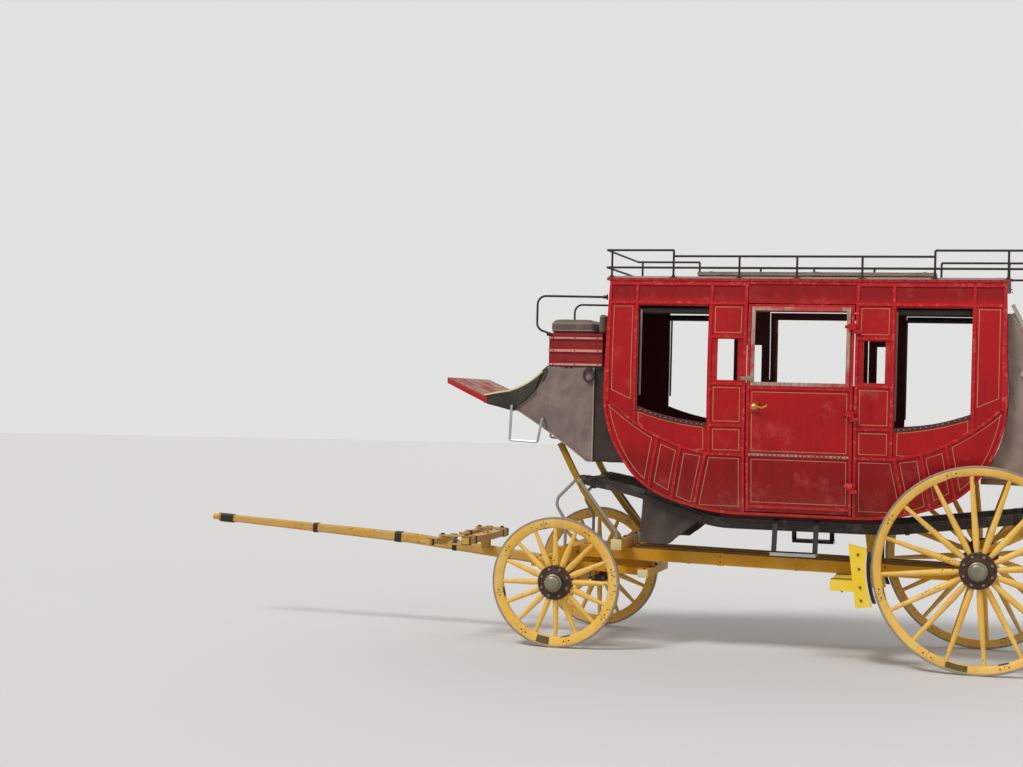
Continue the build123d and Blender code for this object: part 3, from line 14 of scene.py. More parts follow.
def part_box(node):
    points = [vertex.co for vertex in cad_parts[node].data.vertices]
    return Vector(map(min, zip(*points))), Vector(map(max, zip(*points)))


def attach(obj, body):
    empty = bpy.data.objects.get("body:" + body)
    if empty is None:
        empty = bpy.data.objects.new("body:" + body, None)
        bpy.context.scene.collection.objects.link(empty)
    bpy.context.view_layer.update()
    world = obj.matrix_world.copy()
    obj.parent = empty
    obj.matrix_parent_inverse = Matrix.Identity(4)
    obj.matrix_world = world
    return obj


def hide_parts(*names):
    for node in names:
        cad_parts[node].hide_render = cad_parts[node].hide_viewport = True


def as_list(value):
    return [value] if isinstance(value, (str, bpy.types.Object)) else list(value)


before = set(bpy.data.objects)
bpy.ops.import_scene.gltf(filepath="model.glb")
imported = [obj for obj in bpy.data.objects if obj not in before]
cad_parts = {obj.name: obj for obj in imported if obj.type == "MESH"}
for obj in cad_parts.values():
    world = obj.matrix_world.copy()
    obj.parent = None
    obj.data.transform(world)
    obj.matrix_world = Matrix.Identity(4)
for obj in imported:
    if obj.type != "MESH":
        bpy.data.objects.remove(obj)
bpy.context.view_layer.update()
LOG = logging.getLogger("stagecoach")

Colour = tuple[float, float, float]
Point = tuple[float, float]
Shape = bmesh.types.BMesh


def shade(red: int, green: int, blue: int) -> Colour:
    """Turns a screen colour of 0 to 255 into the linear values that shaders use."""
    def one(level: int) -> float:
        """The linear value of one channel."""
        share = level / 255
        return share / 12.92 if share <= 0.04045 else ((share + 0.055) / 1.055) ** 2.4
    return (one(red), one(green), one(blue))


def darker(colour: Colour, share: float) -> Colour:
    """A colour with each channel at a share of its value."""
    return tuple(channel * share for channel in colour)


class Side(Enum):
    """The two sides of the coach, as the sign of y."""

    LEFT = -1
    RIGHT = 1

    @property
    def word(self) -> str:
        """The side's name as the nodes spell it."""
        return self.name.lower()

    @property
    def out(self) -> tuple[int, int, int]:
        """The direction that leads out of this side."""
        return (0, self.value, 0)


# Shader building


def operator(operation: str, swapped: bool = False) -> Callable[["Wire", "Wire | float"], "Wire"]:
    """Makes a method of Wire that adds one Math node.

    Args:
        operation: the node's operation.
        swapped: whether the other value stands on the left.

    Returns:
        The method.
    """
    def apply(wire: "Wire", other: "Wire | float") -> "Wire":
        """This value and another through the node."""
        first, second = (other, wire) if swapped else (wire, other)
        return wire.recipe.math(operation, first, second)
    return apply


@dataclass(frozen=True)
class Wire:
    """A value in a material that can be used in sums: the material, and the socket that gives it."""

    recipe: "Recipe"
    socket: bpy.types.NodeSocket

    __add__, __radd__ = operator("ADD"), operator("ADD", True)
    __sub__, __rsub__ = operator("SUBTRACT"), operator("SUBTRACT", True)
    __mul__, __rmul__ = operator("MULTIPLY"), operator("MULTIPLY", True)
    __truediv__, __rtruediv__ = operator("DIVIDE"), operator("DIVIDE", True)


class Recipe:
    """Builds the nodes of one material, or of the world."""

    def __init__(self, owner: bpy.types.Material | bpy.types.World) -> None:
        """Empties the owner's nodes."""
        self.owner = owner
        owner.use_nodes = True
        self.tree = owner.node_tree
        self.tree.nodes.clear()

    @cached_property
    def place(self) -> Wire:
        """The object coordinates."""
        return self.wire("ShaderNodeTexCoord", {}, "Object")

    def node(self, kind: str, settings: dict | None = None, values: dict | None = None) -> bpy.types.Node:
        """Adds one node.

        Args:
            kind: the node's type.
            settings: its own settings, set first.
            values: its sockets by name or number, each a number, a colour or a Wire.

        Returns:
            The new node.
        """
        made = self.tree.nodes.new(kind)
        for key, value in (settings or {}).items():
            setattr(made, key, value)
        for key, value in (values or {}).items():
            self.feed(made.inputs[key], value)
        return made

    def feed(self, socket: bpy.types.NodeSocket, value: "Wire | float | Colour") -> None:
        """Links or sets one socket."""
        if isinstance(value, Wire):
            self.tree.links.new(value.socket, socket)
        elif socket.type == "RGBA":
            socket.default_value = (*value, 1.0)
        else:
            socket.default_value = value

    def wire(self, kind: str, values: dict, output: int | str = 0, **settings: str) -> Wire:
        """Adds one node and gives one of its outputs."""
        return Wire(self, self.node(kind, settings, values).outputs[output])

    def math(self, operation: str, first: "Wire | float", second: "Wire | float" = 0.0) -> Wire:
        """One Math node on two values."""
        return self.wire("ShaderNodeMath", {0: first, 1: second}, operation=operation)

    def axes(self) -> tuple[Wire, Wire, Wire]:
        """The x, y and z of the place on the object."""
        made = self.node("ShaderNodeSeparateXYZ", values={0: self.place})
        return tuple(Wire(self, output) for output in made.outputs)

    def stretched(self, *scale: float) -> Wire:
        """The object coordinates scaled along each axis."""
        return self.wire("ShaderNodeMapping", {"Vector": self.place, "Scale": scale})

    def noise(self, scale: float, detail: float = 3.0, rough: float = 0.55,
              vector: Wire | None = None) -> Wire:
        """Fractal noise of about 0 to 1."""
        values = {"Vector": vector or self.place, "Scale": scale, "Detail": detail, "Roughness": rough}
        return self.wire("ShaderNodeTexNoise", values, "Fac")

    def step(self, value: Wire, low: float, high: float) -> Wire:
        """Rises smoothly from 0 at low to 1 at high, or falls where low is the larger."""
        start, end = (1.0, 0.0) if low > high else (0.0, 1.0)
        values = {"Value": value, "From Min": min(low, high), "From Max": max(low, high),
                  "To Min": start, "To Max": end}
        return self.wire("ShaderNodeMapRange", values, interpolation_type="SMOOTHSTEP")

    def mix(self, share: "Wire | float", first: "Wire | Colour", second: "Wire | Colour") -> Wire:
        """A colour between two colours."""
        return self.wire("ShaderNodeMix", {0: share, 6: first, 7: second}, 2, data_type="RGBA")

    def bump(self, height: Wire, strength: float, distance: float, under: Wire | None = None) -> Wire:
        """A bumped normal; distance is the height in metres, and under the normal that it adds to."""
        values = {"Height": height, "Strength": strength, "Distance": distance}
        return self.wire("ShaderNodeBump", values if under is None else {**values, "Normal": under})

    def surface(self, **values: "Wire | float | Colour") -> bpy.types.Material:
        """Ends the material in a Principled shader; names use _ for spaces."""
        named = {key.replace("_", " "): value for key, value in values.items()}
        shader = self.wire("ShaderNodeBsdfPrincipled", named)
        self.node("ShaderNodeOutputMaterial", values={"Surface": shader})
        return self.owner


# Places that the frame gives


def middle_of(node: str) -> Vector:
    """The middle of a node's box."""
    low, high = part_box(node)
    return (low + high) / 2


FRONT_AXLE = middle_of("tyre_front_left")
REAR_AXLE = middle_of("tyre_rear_left")
BODY_MIDDLE = middle_of("side_wall_left").x


def x_at(station: float) -> float:
    """The row frame's x at a distance behind the front axle."""
    return FRONT_AXLE.x + station


def at(station: float, y: float, z: float) -> Vector:
    """A point in the row frame from its distance behind the front axle."""
    return Vector((x_at(station), y, z))


# Finishes


MATERIALS: dict[str, bpy.types.Material] = {}


@dataclass(frozen=True)
class Finish:
    """A finish of one colour family; each kind of surface builds its own nodes."""

    name: str
    slot: str
    colour: Colour

    def material(self) -> bpy.types.Material:
        """The finish's material, made on first use."""
        if self.name not in MATERIALS:
            MATERIALS[self.name] = self.build(Recipe(bpy.data.materials.new(self.name)))
        return MATERIALS[self.name]

    def build(self, r: Recipe) -> bpy.types.Material:
        """Makes the nodes; each kind of finish has its own."""
        raise NotImplementedError


@dataclass(frozen=True)
class Paint(Finish):
    """Oil paint on wood, faded in patches, chipped to bare wood and dusty."""

    faded: Colour
    bare: Colour = shade(128, 104, 74)
    dust: Colour = shade(176, 128, 96)
    wear: float = 0.5
    dusty: float = 0.3
    roughness: float = 0.5
    grain: tuple[float, float, float] = (1.0, 8.0, 8.0)

    def build(self, r: Recipe) -> bpy.types.Material:
        """Colour from patches, chips and dust; bump from brush marks, grain and chips."""
        patches = r.step(r.noise(2.6, 4.0, 0.6), 0.35, 0.7)
        fine = r.noise(34.0, 5.0, 0.65)
        fibre = r.noise(60.0, 3.0, 0.6, r.stretched(*self.grain))
        chips = r.step(r.noise(38.0, 6.0, 0.7) + 0.4 * r.noise(3.0, 3.0), 0.92 - 0.12 * self.wear,
                       0.935 - 0.12 * self.wear)
        painted = r.mix(patches, self.colour, self.faded)
        toned = r.mix(0.16 * fine, painted, darker(self.colour, 0.35))
        wood = r.mix(r.step(fibre, 0.3, 0.7), darker(self.bare, 0.45), self.bare)
        worn = r.mix(chips, toned, wood)
        settled = r.step(r.noise(5.0, 5.0, 0.7), 0.42, 0.75) * self.dusty
        height = 0.5 * fine + 0.5 * fibre - 0.9 * chips
        return r.surface(Base_Color=self.parted(r, r.mix(settled, worn, self.dust)),
                         Roughness=self.roughness + 0.22 * fine + 0.2 * settled - 0.08 + 0.2 * chips,
                         Normal=r.bump(height, 0.35, 0.0012), Specular_IOR_Level=0.3)

    def parted(self, r: Recipe, colour: Wire) -> Wire:
        """The colour where the whole node is painted alike; other kinds mark off an area."""
        return colour


@dataclass(frozen=True)
class ShoePaint(Paint):
    """Paint with a dark facing, and a pale edge to it, near a wheel's rim."""

    axle: Point = (0.0, 0.0)
    rim: float = 0.0
    facing: Colour = shade(44, 38, 34)
    edge: Colour = shade(214, 206, 190)

    def parted(self, r: Recipe, colour: Wire) -> Wire:
        """Marks off the facing by its distance from the axle."""
        x, _, z = r.axes()
        along, up = x - self.axle[0], z - self.axle[1]
        reach = r.math("SQRT", along * along + up * up) - self.rim
        edged = r.mix(r.step(reach, 0.046, 0.042), colour, self.edge)
        return r.mix(r.step(reach, 0.036, 0.032), edged, self.facing)


@dataclass(frozen=True)
class StandPaint(Paint):
    """Paint on the squared stands, with bare iron on the rods beside and ahead of them."""

    stay_y: float = 0.0
    rod_x: float = 0.0
    rod_top: float = 0.0
    iron: Colour = shade(146, 142, 136)

    def parted(self, r: Recipe, colour: Wire) -> Wire:
        """Marks off the rods by where they stand."""
        x, y, z = r.axes()
        outside = r.step(r.math("ABSOLUTE", y), self.stay_y + 0.0008, self.stay_y + 0.0016)
        ahead = r.step(x, self.rod_x, self.rod_x - 0.001) * r.step(z, self.rod_top, self.rod_top - 0.001)
        return r.mix(r.math("MAXIMUM", outside, ahead), colour, self.iron)


@dataclass(frozen=True)
class CoachPaint(Finish):
    """The cabin's red: brighter mouldings with painted edge highlights, painted shade on frieze and lower
    belly, worn lining inside.
    """

    moulding: Colour
    lining: Colour
    # The chalking colour of old paint, also used as a painted highlight on the mouldings' edges.
    worn: Colour
    belly: "Belly"

    def build(self, r: Recipe) -> bpy.types.Material:
        """Parts flush panels, raised mouldings and the inner face by distance from the belly's axis."""
        x, y, z = r.axes()
        centre, height, radius = self.belly.circle
        reach = r.math("ABSOLUTE", y) - centre
        drop = z - height
        outward = r.math("SQRT", reach * reach + drop * drop) - radius
        raised = r.step(outward, 0.003, 0.005)
        inside = r.step(outward, -0.012, -0.016)
        patches = r.step(r.noise(1.7, 5.0, 0.62), 0.34, 0.72)
        fine = r.noise(42.0, 5.0, 0.65)
        streaks = r.noise(7.0, 4.0, 0.6, r.stretched(2.2, 2.2, 0.22))
        # Painted shade: the frieze is darkened as if under the roof's shadow; the lower belly partly as if
        # turned from the light.
        low = r.math("MAXIMUM", r.step(z, 1.72, 1.50), r.step(z, 2.80, 2.86))
        panel = r.mix(0.55 * patches, self.colour, darker(self.colour, 0.62))
        # deep holds that painted shade together with real weather streaks.
        deep = r.mix(0.60 * low + 0.28 * r.step(streaks, 0.45, 0.75), panel, darker(self.colour, 0.40))
        chalky = r.mix(0.42 * r.step(r.noise(3.1, 7.0, 0.74), 0.52, 0.74), deep, self.worn)
        # Painted highlight: broken pale patches in the worn colour on the mouldings' outermost faces.
        edge = r.step(outward, 0.0078, 0.0088) * r.step(r.noise(24.0, 6.0, 0.7), 0.52, 0.64)
        rubbed = r.noise(8.0, 9.0, 0.8, r.stretched(1.6, 1.0, 1.0)) + 0.16 * r.step(x, 3.0, 3.2)
        scuffs = r.step(rubbed, 0.70, 0.73)
        rail = r.mix(0.45 * patches, self.moulding, darker(self.moulding, 0.7))
        outer = r.mix(raised, chalky, r.mix(0.55 * edge, rail, self.worn))
        scuffed = r.mix(0.6 * scuffs, outer, shade(214, 168, 150))
        dusty = r.mix(0.22 * r.step(z, 1.5, 1.1) * r.step(fine, 0.3, 0.7), scuffed, shade(150, 100, 76))
        lined = r.mix(r.noise(6.0, 5.0), self.lining, darker(self.lining, 0.5))
        height = 0.5 * fine + 0.4 * r.noise(90.0, 3.0, 0.6, r.stretched(1, 1, 0.12)) - 0.5 * scuffs
        return r.surface(Base_Color=r.mix(inside, dusty, lined),
                         Roughness=0.34 + 0.2 * patches + 0.12 * fine + 0.15 * inside,
                         Normal=r.bump(height, 0.25, 0.0008), Coat_Weight=0.06, Coat_Roughness=0.2,
                         Specular_IOR_Level=0.22)


@dataclass(frozen=True)
class Metal(Finish):
    """Iron or brass: forged unevenness, with rust or tarnish in patches."""

    rust: Colour = shade(92, 58, 38)
    rusty: float = 0.4
    roughness: float = 0.5
    metallic: float = 0.75

    def build(self, r: Recipe) -> bpy.types.Material:
        """Metal with dull rust patches that aren't metallic."""
        patches = r.step(r.noise(14.0, 6.0, 0.7), 0.66 - 0.3 * self.rusty, 0.8 - 0.2 * self.rusty)
        fine = r.noise(120.0, 4.0, 0.6)
        toned = r.mix(r.noise(9.0, 4.0), self.colour, darker(self.colour, 0.5))
        return r.surface(Base_Color=r.mix(patches * (0.35 + 0.65 * self.rusty), toned, self.rust),
                         Roughness=self.roughness + 0.25 * patches + 0.15 * fine - 0.05,
                         Metallic=self.metallic - 0.7 * self.metallic * patches,
                         Normal=r.bump(fine + 0.6 * patches, 0.3, 0.0009))


@dataclass(frozen=True)
class Leather(Finish):
    """Old harness leather: creases and rubbed high spots."""

    rubbed: Colour
    scale: float = 60.0
    roughness: float = 0.55

    def build(self, r: Recipe) -> bpy.types.Material:
        """Crease cells and long wrinkles."""
        cells = r.wire("ShaderNodeTexVoronoi", {"Vector": r.place, "Scale": self.scale}, "Distance",
                       feature="DISTANCE_TO_EDGE")
        creases = r.step(cells, 0.0, 0.12)
        folds = r.noise(9.0, 6.0, 0.7)
        rubbed = r.step(folds, 0.5, 0.72)
        base = r.mix(0.6 * rubbed, self.colour, self.rubbed)
        dark = r.mix(0.5 - 0.5 * creases, base, darker(self.colour, 0.4))
        height = 0.5 * creases + 1.2 * folds
        return r.surface(Base_Color=dark, Roughness=self.roughness + 0.2 * folds - 0.1 * rubbed,
                         Normal=r.bump(height, 0.5, 0.0016))


@dataclass(frozen=True)
class Canvas(Finish):
    """Heavy duck canvas: plain weave, soft folds, stains and dust."""

    faded: Colour
    dust: Colour = shade(170, 140, 112)
    thread: float = 0.0024
    stain: float = 0.4

    def build(self, r: Recipe) -> bpy.types.Material:
        """Two crossed thread waves for the weave, with stains and creases over it."""
        x, y, z = r.axes()
        turn = 2 * math.pi / self.thread
        warp = r.math("SINE", (x + y) * turn)
        weft = r.math("SINE", z * turn + 0.8 * r.math("SINE", (x - y) * (turn * 0.03)))
        weave = 0.5 + 0.25 * warp + 0.25 * weft
        patches = r.step(r.noise(2.4, 6.0, 0.65), 0.36, 0.7)
        blots = r.step(r.noise(6.5, 7.0, 0.7), 0.55, 0.75)
        creases = r.noise(9.0, 7.0, 0.62, r.stretched(1.0, 1.0, 0.55))
        base = r.mix(0.8 * patches, self.colour, self.faded)
        stained = r.mix(self.stain * blots, base, darker(self.colour, 0.5))
        dusty = r.mix(0.3 * r.step(creases, 0.5, 0.7), stained, self.dust)
        toned = r.mix(0.22 * (1.0 - weave), dusty, darker(self.colour, 0.3))
        return r.surface(Base_Color=toned, Roughness=0.82 + 0.12 * blots,
                         Normal=r.bump(creases, 0.7, 0.014, r.bump(weave, 0.35, 0.0006)),
                         Sheen_Weight=0.25, Sheen_Roughness=0.6)


@dataclass(frozen=True)
class Timber(Finish):
    """Bare or thinly painted board: long grain, cracks, paint left in patches."""

    weathered: Colour
    grain: tuple[float, float, float] = (1.0, 14.0, 14.0)
    paint_left: Colour | None = None
    left: float = 0.0

    def build(self, r: Recipe) -> bpy.types.Material:
        """Stretched noise for the grain, with deep cracks and remains of paint."""
        along = r.stretched(*self.grain)
        fibre = r.noise(9.0, 7.0, 0.7, along)
        cracks = r.step(r.noise(14.0, 4.0, 0.6, along), 0.36, 0.30)
        patches = r.noise(3.0, 5.0, 0.6)
        wood = r.mix(r.step(fibre, 0.3, 0.72), self.colour, self.weathered)
        base = r.mix(0.8 * cracks, wood, darker(self.colour, 0.2))
        height = fibre - 0.9 * cracks
        if self.paint_left is not None:
            kept = r.step(patches + 0.35 * fibre, 0.78 - 0.5 * self.left, 0.84 - 0.5 * self.left)
            base = r.mix(0.9 * kept, base, self.paint_left)
            height = height + 0.4 * kept
        return r.surface(Base_Color=base, Roughness=0.72 + 0.2 * fibre, Normal=r.bump(height, 0.55, 0.0022))


def circle_through(first: Point, second: Point, third: Point) -> tuple[float, float, float]:
    """The centre and radius of the circle through three points."""
    (ax, ay), (bx, by), (cx, cy) = first, second, third
    d = 2 * (ax * (by - cy) + bx * (cy - ay) + cx * (ay - by))
    a, b, c = ax * ax + ay * ay, bx * bx + by * by, cx * cx + cy * cy
    ux = (a * (by - cy) + b * (cy - ay) + c * (ay - by)) / d
    uy = (a * (cx - bx) + b * (ax - cx) + c * (bx - ax)) / d
    return ux, uy, math.hypot(ax - ux, ay - uy)


def arc_through(first: Point, second: Point, third: Point, count: int = 12) -> list[Point]:
    """Points on the arc from the first point through the second to the third."""
    ux, uy, radius = circle_through(first, second, third)
    start, middle, end = (math.atan2(b - uy, a - ux) for a, b in (first, second, third))
    span = (end - start) % (2 * math.pi)
    if (middle - start) % (2 * math.pi) > span:
        span -= 2 * math.pi
    angles = [start + span * number / count for number in range(count + 1)]
    return [(ux + radius * math.cos(angle), uy + radius * math.sin(angle)) for angle in angles]


@dataclass(frozen=True)
class Belly:
    """The arc of the bellied side in section, through three half widths and heights."""

    low: Point
    waist: Point
    high: Point

    @property
    def circle(self) -> tuple[float, float, float]:
        """The half width and height of the arc's centre, and its radius."""
        return circle_through(self.low, self.waist, self.high)

    def half(self, z: float) -> float:
        """The half width of the cabin's outer face at a height."""
        centre, height, radius = self.circle
        return centre + math.sqrt(radius * radius - (z - height) ** 2)


BELLY = Belly((0.552, 1.070), (0.680, 2.000), (0.632, 3.020))

# The coach red paints shade on its frieze and lower belly; its worn colour also paints highlights on moulding
# edges.
RED = CoachPaint("coach_red", "red_panel", shade(176, 14, 18), moulding=shade(186, 20, 26),
                 lining=shade(92, 26, 22), worn=shade(214, 98, 92), belly=BELLY)
TRIM_RED = Paint("trim_red", "red_panel", shade(172, 18, 22), faded=shade(186, 44, 44),
                 bare=shade(196, 96, 88), dust=shade(150, 84, 66), wear=0.35, dusty=0.12)
BOX_RED = Paint("box_red", "red_panel", shade(132, 14, 16), faded=shade(150, 30, 30),
                bare=shade(190, 104, 96), dust=shade(132, 78, 62), wear=0.5, dusty=0.25)
YELLOW = Paint("wheel_yellow", "yellow_wood", shade(236, 184, 74), faded=shade(242, 200, 110),
               bare=shade(136, 96, 56), dust=shade(186, 130, 70), wear=0.62, dusty=0.42, roughness=0.42)
OCHRE = Paint("gear_ochre", "ochre_wood", shade(206, 144, 6), faded=shade(218, 162, 24),
              bare=shade(110, 84, 54), wear=0.5, dusty=0.3)
BRAKE_YELLOW = ShoePaint("brake_yellow", "brake_wood", shade(246, 206, 44), faded=shade(248, 220, 96),
                         wear=0.3, dusty=0.12, axle=(REAR_AXLE.x, REAR_AXLE.z), rim=REAR_AXLE.z)
STAND_OCHRE = StandPaint("stand_ochre", "ochre_wood", shade(158, 116, 14), faded=shade(176, 134, 30),
                         bare=shade(96, 72, 46), wear=0.5, dusty=0.15, stay_y=0.5185,
                         rod_x=FRONT_AXLE.x + 0.078, rod_top=1.345)
POLE_WOOD = Paint("pole_paint", "pole_wood", shade(206, 156, 60), faded=shade(196, 160, 96), wear=0.8,
                  dusty=0.4)
IRON = Metal("black_iron", "iron", shade(64, 60, 56), rusty=0.35, roughness=0.5)
HUB_IRON = Metal("oiled_hub_iron", "hub_iron", shade(86, 62, 50), rusty=0.45, roughness=0.45,
                 metallic=0.55)
NUT_IRON = Metal("hub_cap_iron", "hub_iron", shade(150, 144, 124), rusty=0.15, roughness=0.38, metallic=0.6)
# Painted light: the tyre iron is pale partly from road wear and partly as painted sunlight on it.
WORN_SUNLIT_TYRE = Metal("worn_sunlit_tyre_iron", "tyre_iron", shade(176, 158, 142), rusty=0.35, roughness=0.5, metallic=0.5)
RUST_PLATE = Metal("rusted_plate", "iron", shade(112, 98, 62), rusty=0.4, roughness=0.6, metallic=0.3)
STEEL = Metal("worn_steel", "iron", shade(196, 192, 186), rusty=0.12, roughness=0.4)
BRASS = Metal("old_brass", "brass", shade(214, 170, 84), rust=shade(120, 92, 40), rusty=0.25, roughness=0.3,
              metallic=0.95)
# Brace leather: its dark base is partly painted shade under the body, its pale rubbed colour partly painted
# sunlight.
STRAP = Leather("brace_leather", "strap_leather", shade(70, 63, 59), rubbed=shade(146, 140, 134))
DARK_LEATHER = Leather("dark_leather", "bench_leather", shade(46, 36, 30), rubbed=shade(84, 66, 52))
BENCH_LEATHER = Leather("worn_bench_leather", "bench_leather", shade(92, 52, 34), rubbed=shade(140, 92, 64))
CANVAS = Canvas("boot_canvas", "canvas", shade(117, 100, 92), faded=shade(148, 129, 119))
HOOD_CANVAS = Canvas("hood_canvas", "canvas", shade(132, 112, 100), faded=shade(166, 144, 130))
SEAT_CLOTH = Canvas("worn_seat_cloth", "seat_cloth", shade(84, 70, 60), faded=shade(114, 98, 86),
                    thread=0.003)
PALE_CANVAS = Canvas("pale_canvas", "canvas", shade(158, 144, 126), faded=shade(184, 170, 150), stain=0.2)
FLAP_CANVAS = Canvas("flap_canvas", "canvas", shade(54, 40, 30), faded=shade(78, 60, 48),
                     dust=shade(108, 82, 62))
PALE_STRAP = Leather("pale_strap", "strap_leather", shade(176, 164, 150), rubbed=shade(206, 198, 186))
# Painted shade: the leather in the recess behind the boot's canvas is near black, partly its own dark brown
# and partly painted shade.
SHADED_BOOT_LEATHER = Leather("shaded_boot_leather", "bench_leather", shade(46, 30, 24), rubbed=shade(70, 50, 42),
                       scale=30.0)
STRAP_TAN = Leather("tan_leather", "strap_leather", shade(150, 124, 98), rubbed=shade(184, 162, 136))
BROWN_WOOD = Timber("brown_wood", "bench_wood", shade(92, 64, 34), weathered=shade(132, 98, 54))
WORN_PINK = Paint("worn_pink", "red_panel", shade(214, 120, 112), faded=shade(226, 158, 146),
                  bare=shade(150, 60, 54), wear=0.7, dusty=0.2)
ROOF_CANVAS = Canvas("painted_roof_canvas", "roof_canvas", shade(118, 92, 84), faded=shade(140, 112, 98))
PLANK = Timber("roof_plank_wood", "plank_wood", shade(104, 92, 78), weathered=shade(168, 156, 138))
FOOT_WOOD = Timber("foot_board_wood", "footboard_wood", shade(140, 98, 84), weathered=shade(186, 148, 124),
                   grain=(14.0, 1.0, 14.0), paint_left=shade(150, 44, 44), left=0.18)
BENCH_WOOD = Timber("oiled_bench_wood", "bench_wood", shade(84, 58, 38), weathered=shade(124, 92, 64),
                    grain=(14.0, 1.0, 14.0))
DASH = Paint("dash_green", "dash_paint", shade(40, 38, 33), faded=shade(62, 57, 50), bare=shade(96, 80, 66),
             dust=shade(108, 86, 70), wear=0.5, dusty=0.3, roughness=0.6)
CREAM = Paint("cream_line", "dash_paint", shade(226, 212, 160), faded=shade(214, 196, 140), wear=0.4,
              dusty=0.2)
BLEACHED = Timber("bleached_frame", "bench_wood", shade(140, 104, 88), weathered=shade(196, 168, 150),
                  grain=(10.0, 10.0, 1.0), paint_left=shade(176, 44, 40), left=0.2)
STRIPE = Paint("tan_stripe", "red_panel", shade(206, 158, 110), faded=shade(188, 128, 92),
               bare=shade(150, 50, 44), wear=0.55, dusty=0.1)

# What each carried-over node of the frame is finished in
NODE_FINISHES: dict[str, Finish] = {node: finish for finish, nodes in (
    (OCHRE, "rear_axle front_axle hounds front_transom perches front_crossbar rear_stands"),
    (STAND_OCHRE, "front_stands"),
    (POLE_WOOD, "pole evener singletree_left singletree_right"),
    (BRAKE_YELLOW, "brake"),
    (RED, "side_wall_left side_wall_right door_left door_right front_wall rear_wall floor"),
    (ROOF_CANVAS, "roof"),
    (IRON, "roof_rail seat_rails brake_lever door_steps"),
    (PLANK, "roof_plank"),
    (BENCH_WOOD, "benches rear_platform"),
    (BOX_RED, "seat_box seat_board"),
    (FOOT_WOOD, "footboard"),
    (DASH, "dash_sides"),
    (STEEL, "stirrup_steps"),
) for node in nodes.split()}


# Mesh building


def show(name: str, data: bpy.types.ID) -> bpy.types.Object:
    """Puts a mesh, lamp or camera in the scene."""
    piece = bpy.data.objects.new(name, data)
    bpy.context.scene.collection.objects.link(piece)
    return piece


def finish_piece(bm: Shape, name: str, body: str, finish: Finish, *, replaces: Sequence[str] = (),
                 angle: float = 35.0, merge: bool = True) -> bpy.types.Object:
    """Turns a bmesh into a shown piece that rides on a body.

    Args:
        bm: the shape, in place in the row frame; it is freed.
        name: the piece's name.
        body: the body that it rides on.
        finish: its finish, whose material the piece takes.
        replaces: the nodes that it stands for.
        angle: edges sharper than this, in degrees, stay sharp.
        merge: whether doubles are merged and normals worked out again.

    Returns:
        The new object.
    """
    if merge:
        bmesh.ops.remove_doubles(bm, verts=bm.verts, dist=1e-6)
        bmesh.ops.recalc_face_normals(bm, faces=bm.faces)
    mesh = bpy.data.meshes.new(name)
    bm.to_mesh(mesh)
    bm.free()
    mesh.shade_smooth()
    mesh.set_sharp_from_angle(angle=math.radians(angle))
    mesh.materials.append(finish.material())
    piece = show(name, mesh)
    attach(piece, body)
    if replaces:
        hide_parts(*replaces)
    LOG.info("%s: %d faces on %s", name, len(mesh.polygons), body)
    return piece


def cut_plane(bm: Shape, axis: Sequence[float], place: float, **settings: float) -> None:
    """Cuts a whole shape with the plane that stands across an axis at a distance along it."""
    bmesh.ops.bisect_plane(bm, geom=bm.verts[:] + bm.edges[:] + bm.faces[:], plane_co=Vector(axis) * place,
                           plane_no=axis, **settings)


def join_into(target: Shape, part: Shape, matrix: Matrix | None = None) -> None:
    """Adds a part to a larger bmesh, moved by a matrix, and frees the part."""
    scratch = bpy.data.meshes.new("scratch")
    part.to_mesh(scratch)
    part.free()
    if matrix is not None:
        scratch.transform(matrix)
    target.from_mesh(scratch)
    bpy.data.meshes.remove(scratch)


def gather(name: str, finish: Finish, shapes: Iterable[Shape], body: str = "coach", angle: float = 35.0
           ) -> bpy.types.Object:
    """Joins shapes that share a body and a finish into one piece."""
    whole = bmesh.new()
    for shape in shapes:
        join_into(whole, shape)
    return finish_piece(whole, name, body, finish, angle=angle)


def studs(places: Iterable[Matrix], radius: float, height: float, sides: int = 8) -> Shape:
    """Nail or bolt heads at each place."""
    heads = bmesh.new()
    stamp(heads, bolt_shape(radius, height, sides), places)
    return heads


def stud_piece(name: str, finish: Finish, places: Iterable[Matrix], radius: float, height: float,
               sides: int = 8, body: str = "coach", angle: float = 35.0) -> None:
    """Nail or bolt heads as a piece of their own."""
    gather(name, finish, [studs(places, radius, height, sides)], body, angle)


def swept(bm: Shape, across: Sequence[float]) -> Shape:
    """Gives the flat faces of a shape a depth along a vector."""
    raised = bmesh.ops.extrude_face_region(bm, geom=bm.faces[:])["geom"]
    bmesh.ops.translate(bm, verts=[v for v in raised if isinstance(v, bmesh.types.BMVert)], vec=across)
    return bm


def flat_shape(points: Iterable[Sequence[float]]) -> Shape:
    """One face through points."""
    bm = bmesh.new()
    bm.faces.new([bm.verts.new(point) for point in points])
    return bm


def slab_shape(outline: Sequence[Point], start: float, end: float, bevel: float = 0.0) -> Shape:
    """A board whose outline is drawn from the side, as (x, z), and which reaches from one y to another."""
    bm = swept(flat_shape((a, start, b) for a, b in outline), (0, end - start, 0))
    bmesh.ops.recalc_face_normals(bm, faces=bm.faces)
    if bevel:
        bevel_edges(bm, bevel, 2, 40)
    return bm


def stamp(target: Shape, pattern: Shape, places: Iterable[Matrix]) -> None:
    """Adds a copy of a pattern at each place, and frees the pattern."""
    scratch = bpy.data.meshes.new("scratch")
    pattern.to_mesh(scratch)
    pattern.free()
    for place in places:
        copy = scratch.copy()
        copy.transform(place)
        target.from_mesh(copy)
        bpy.data.meshes.remove(copy)
    bpy.data.meshes.remove(scratch)


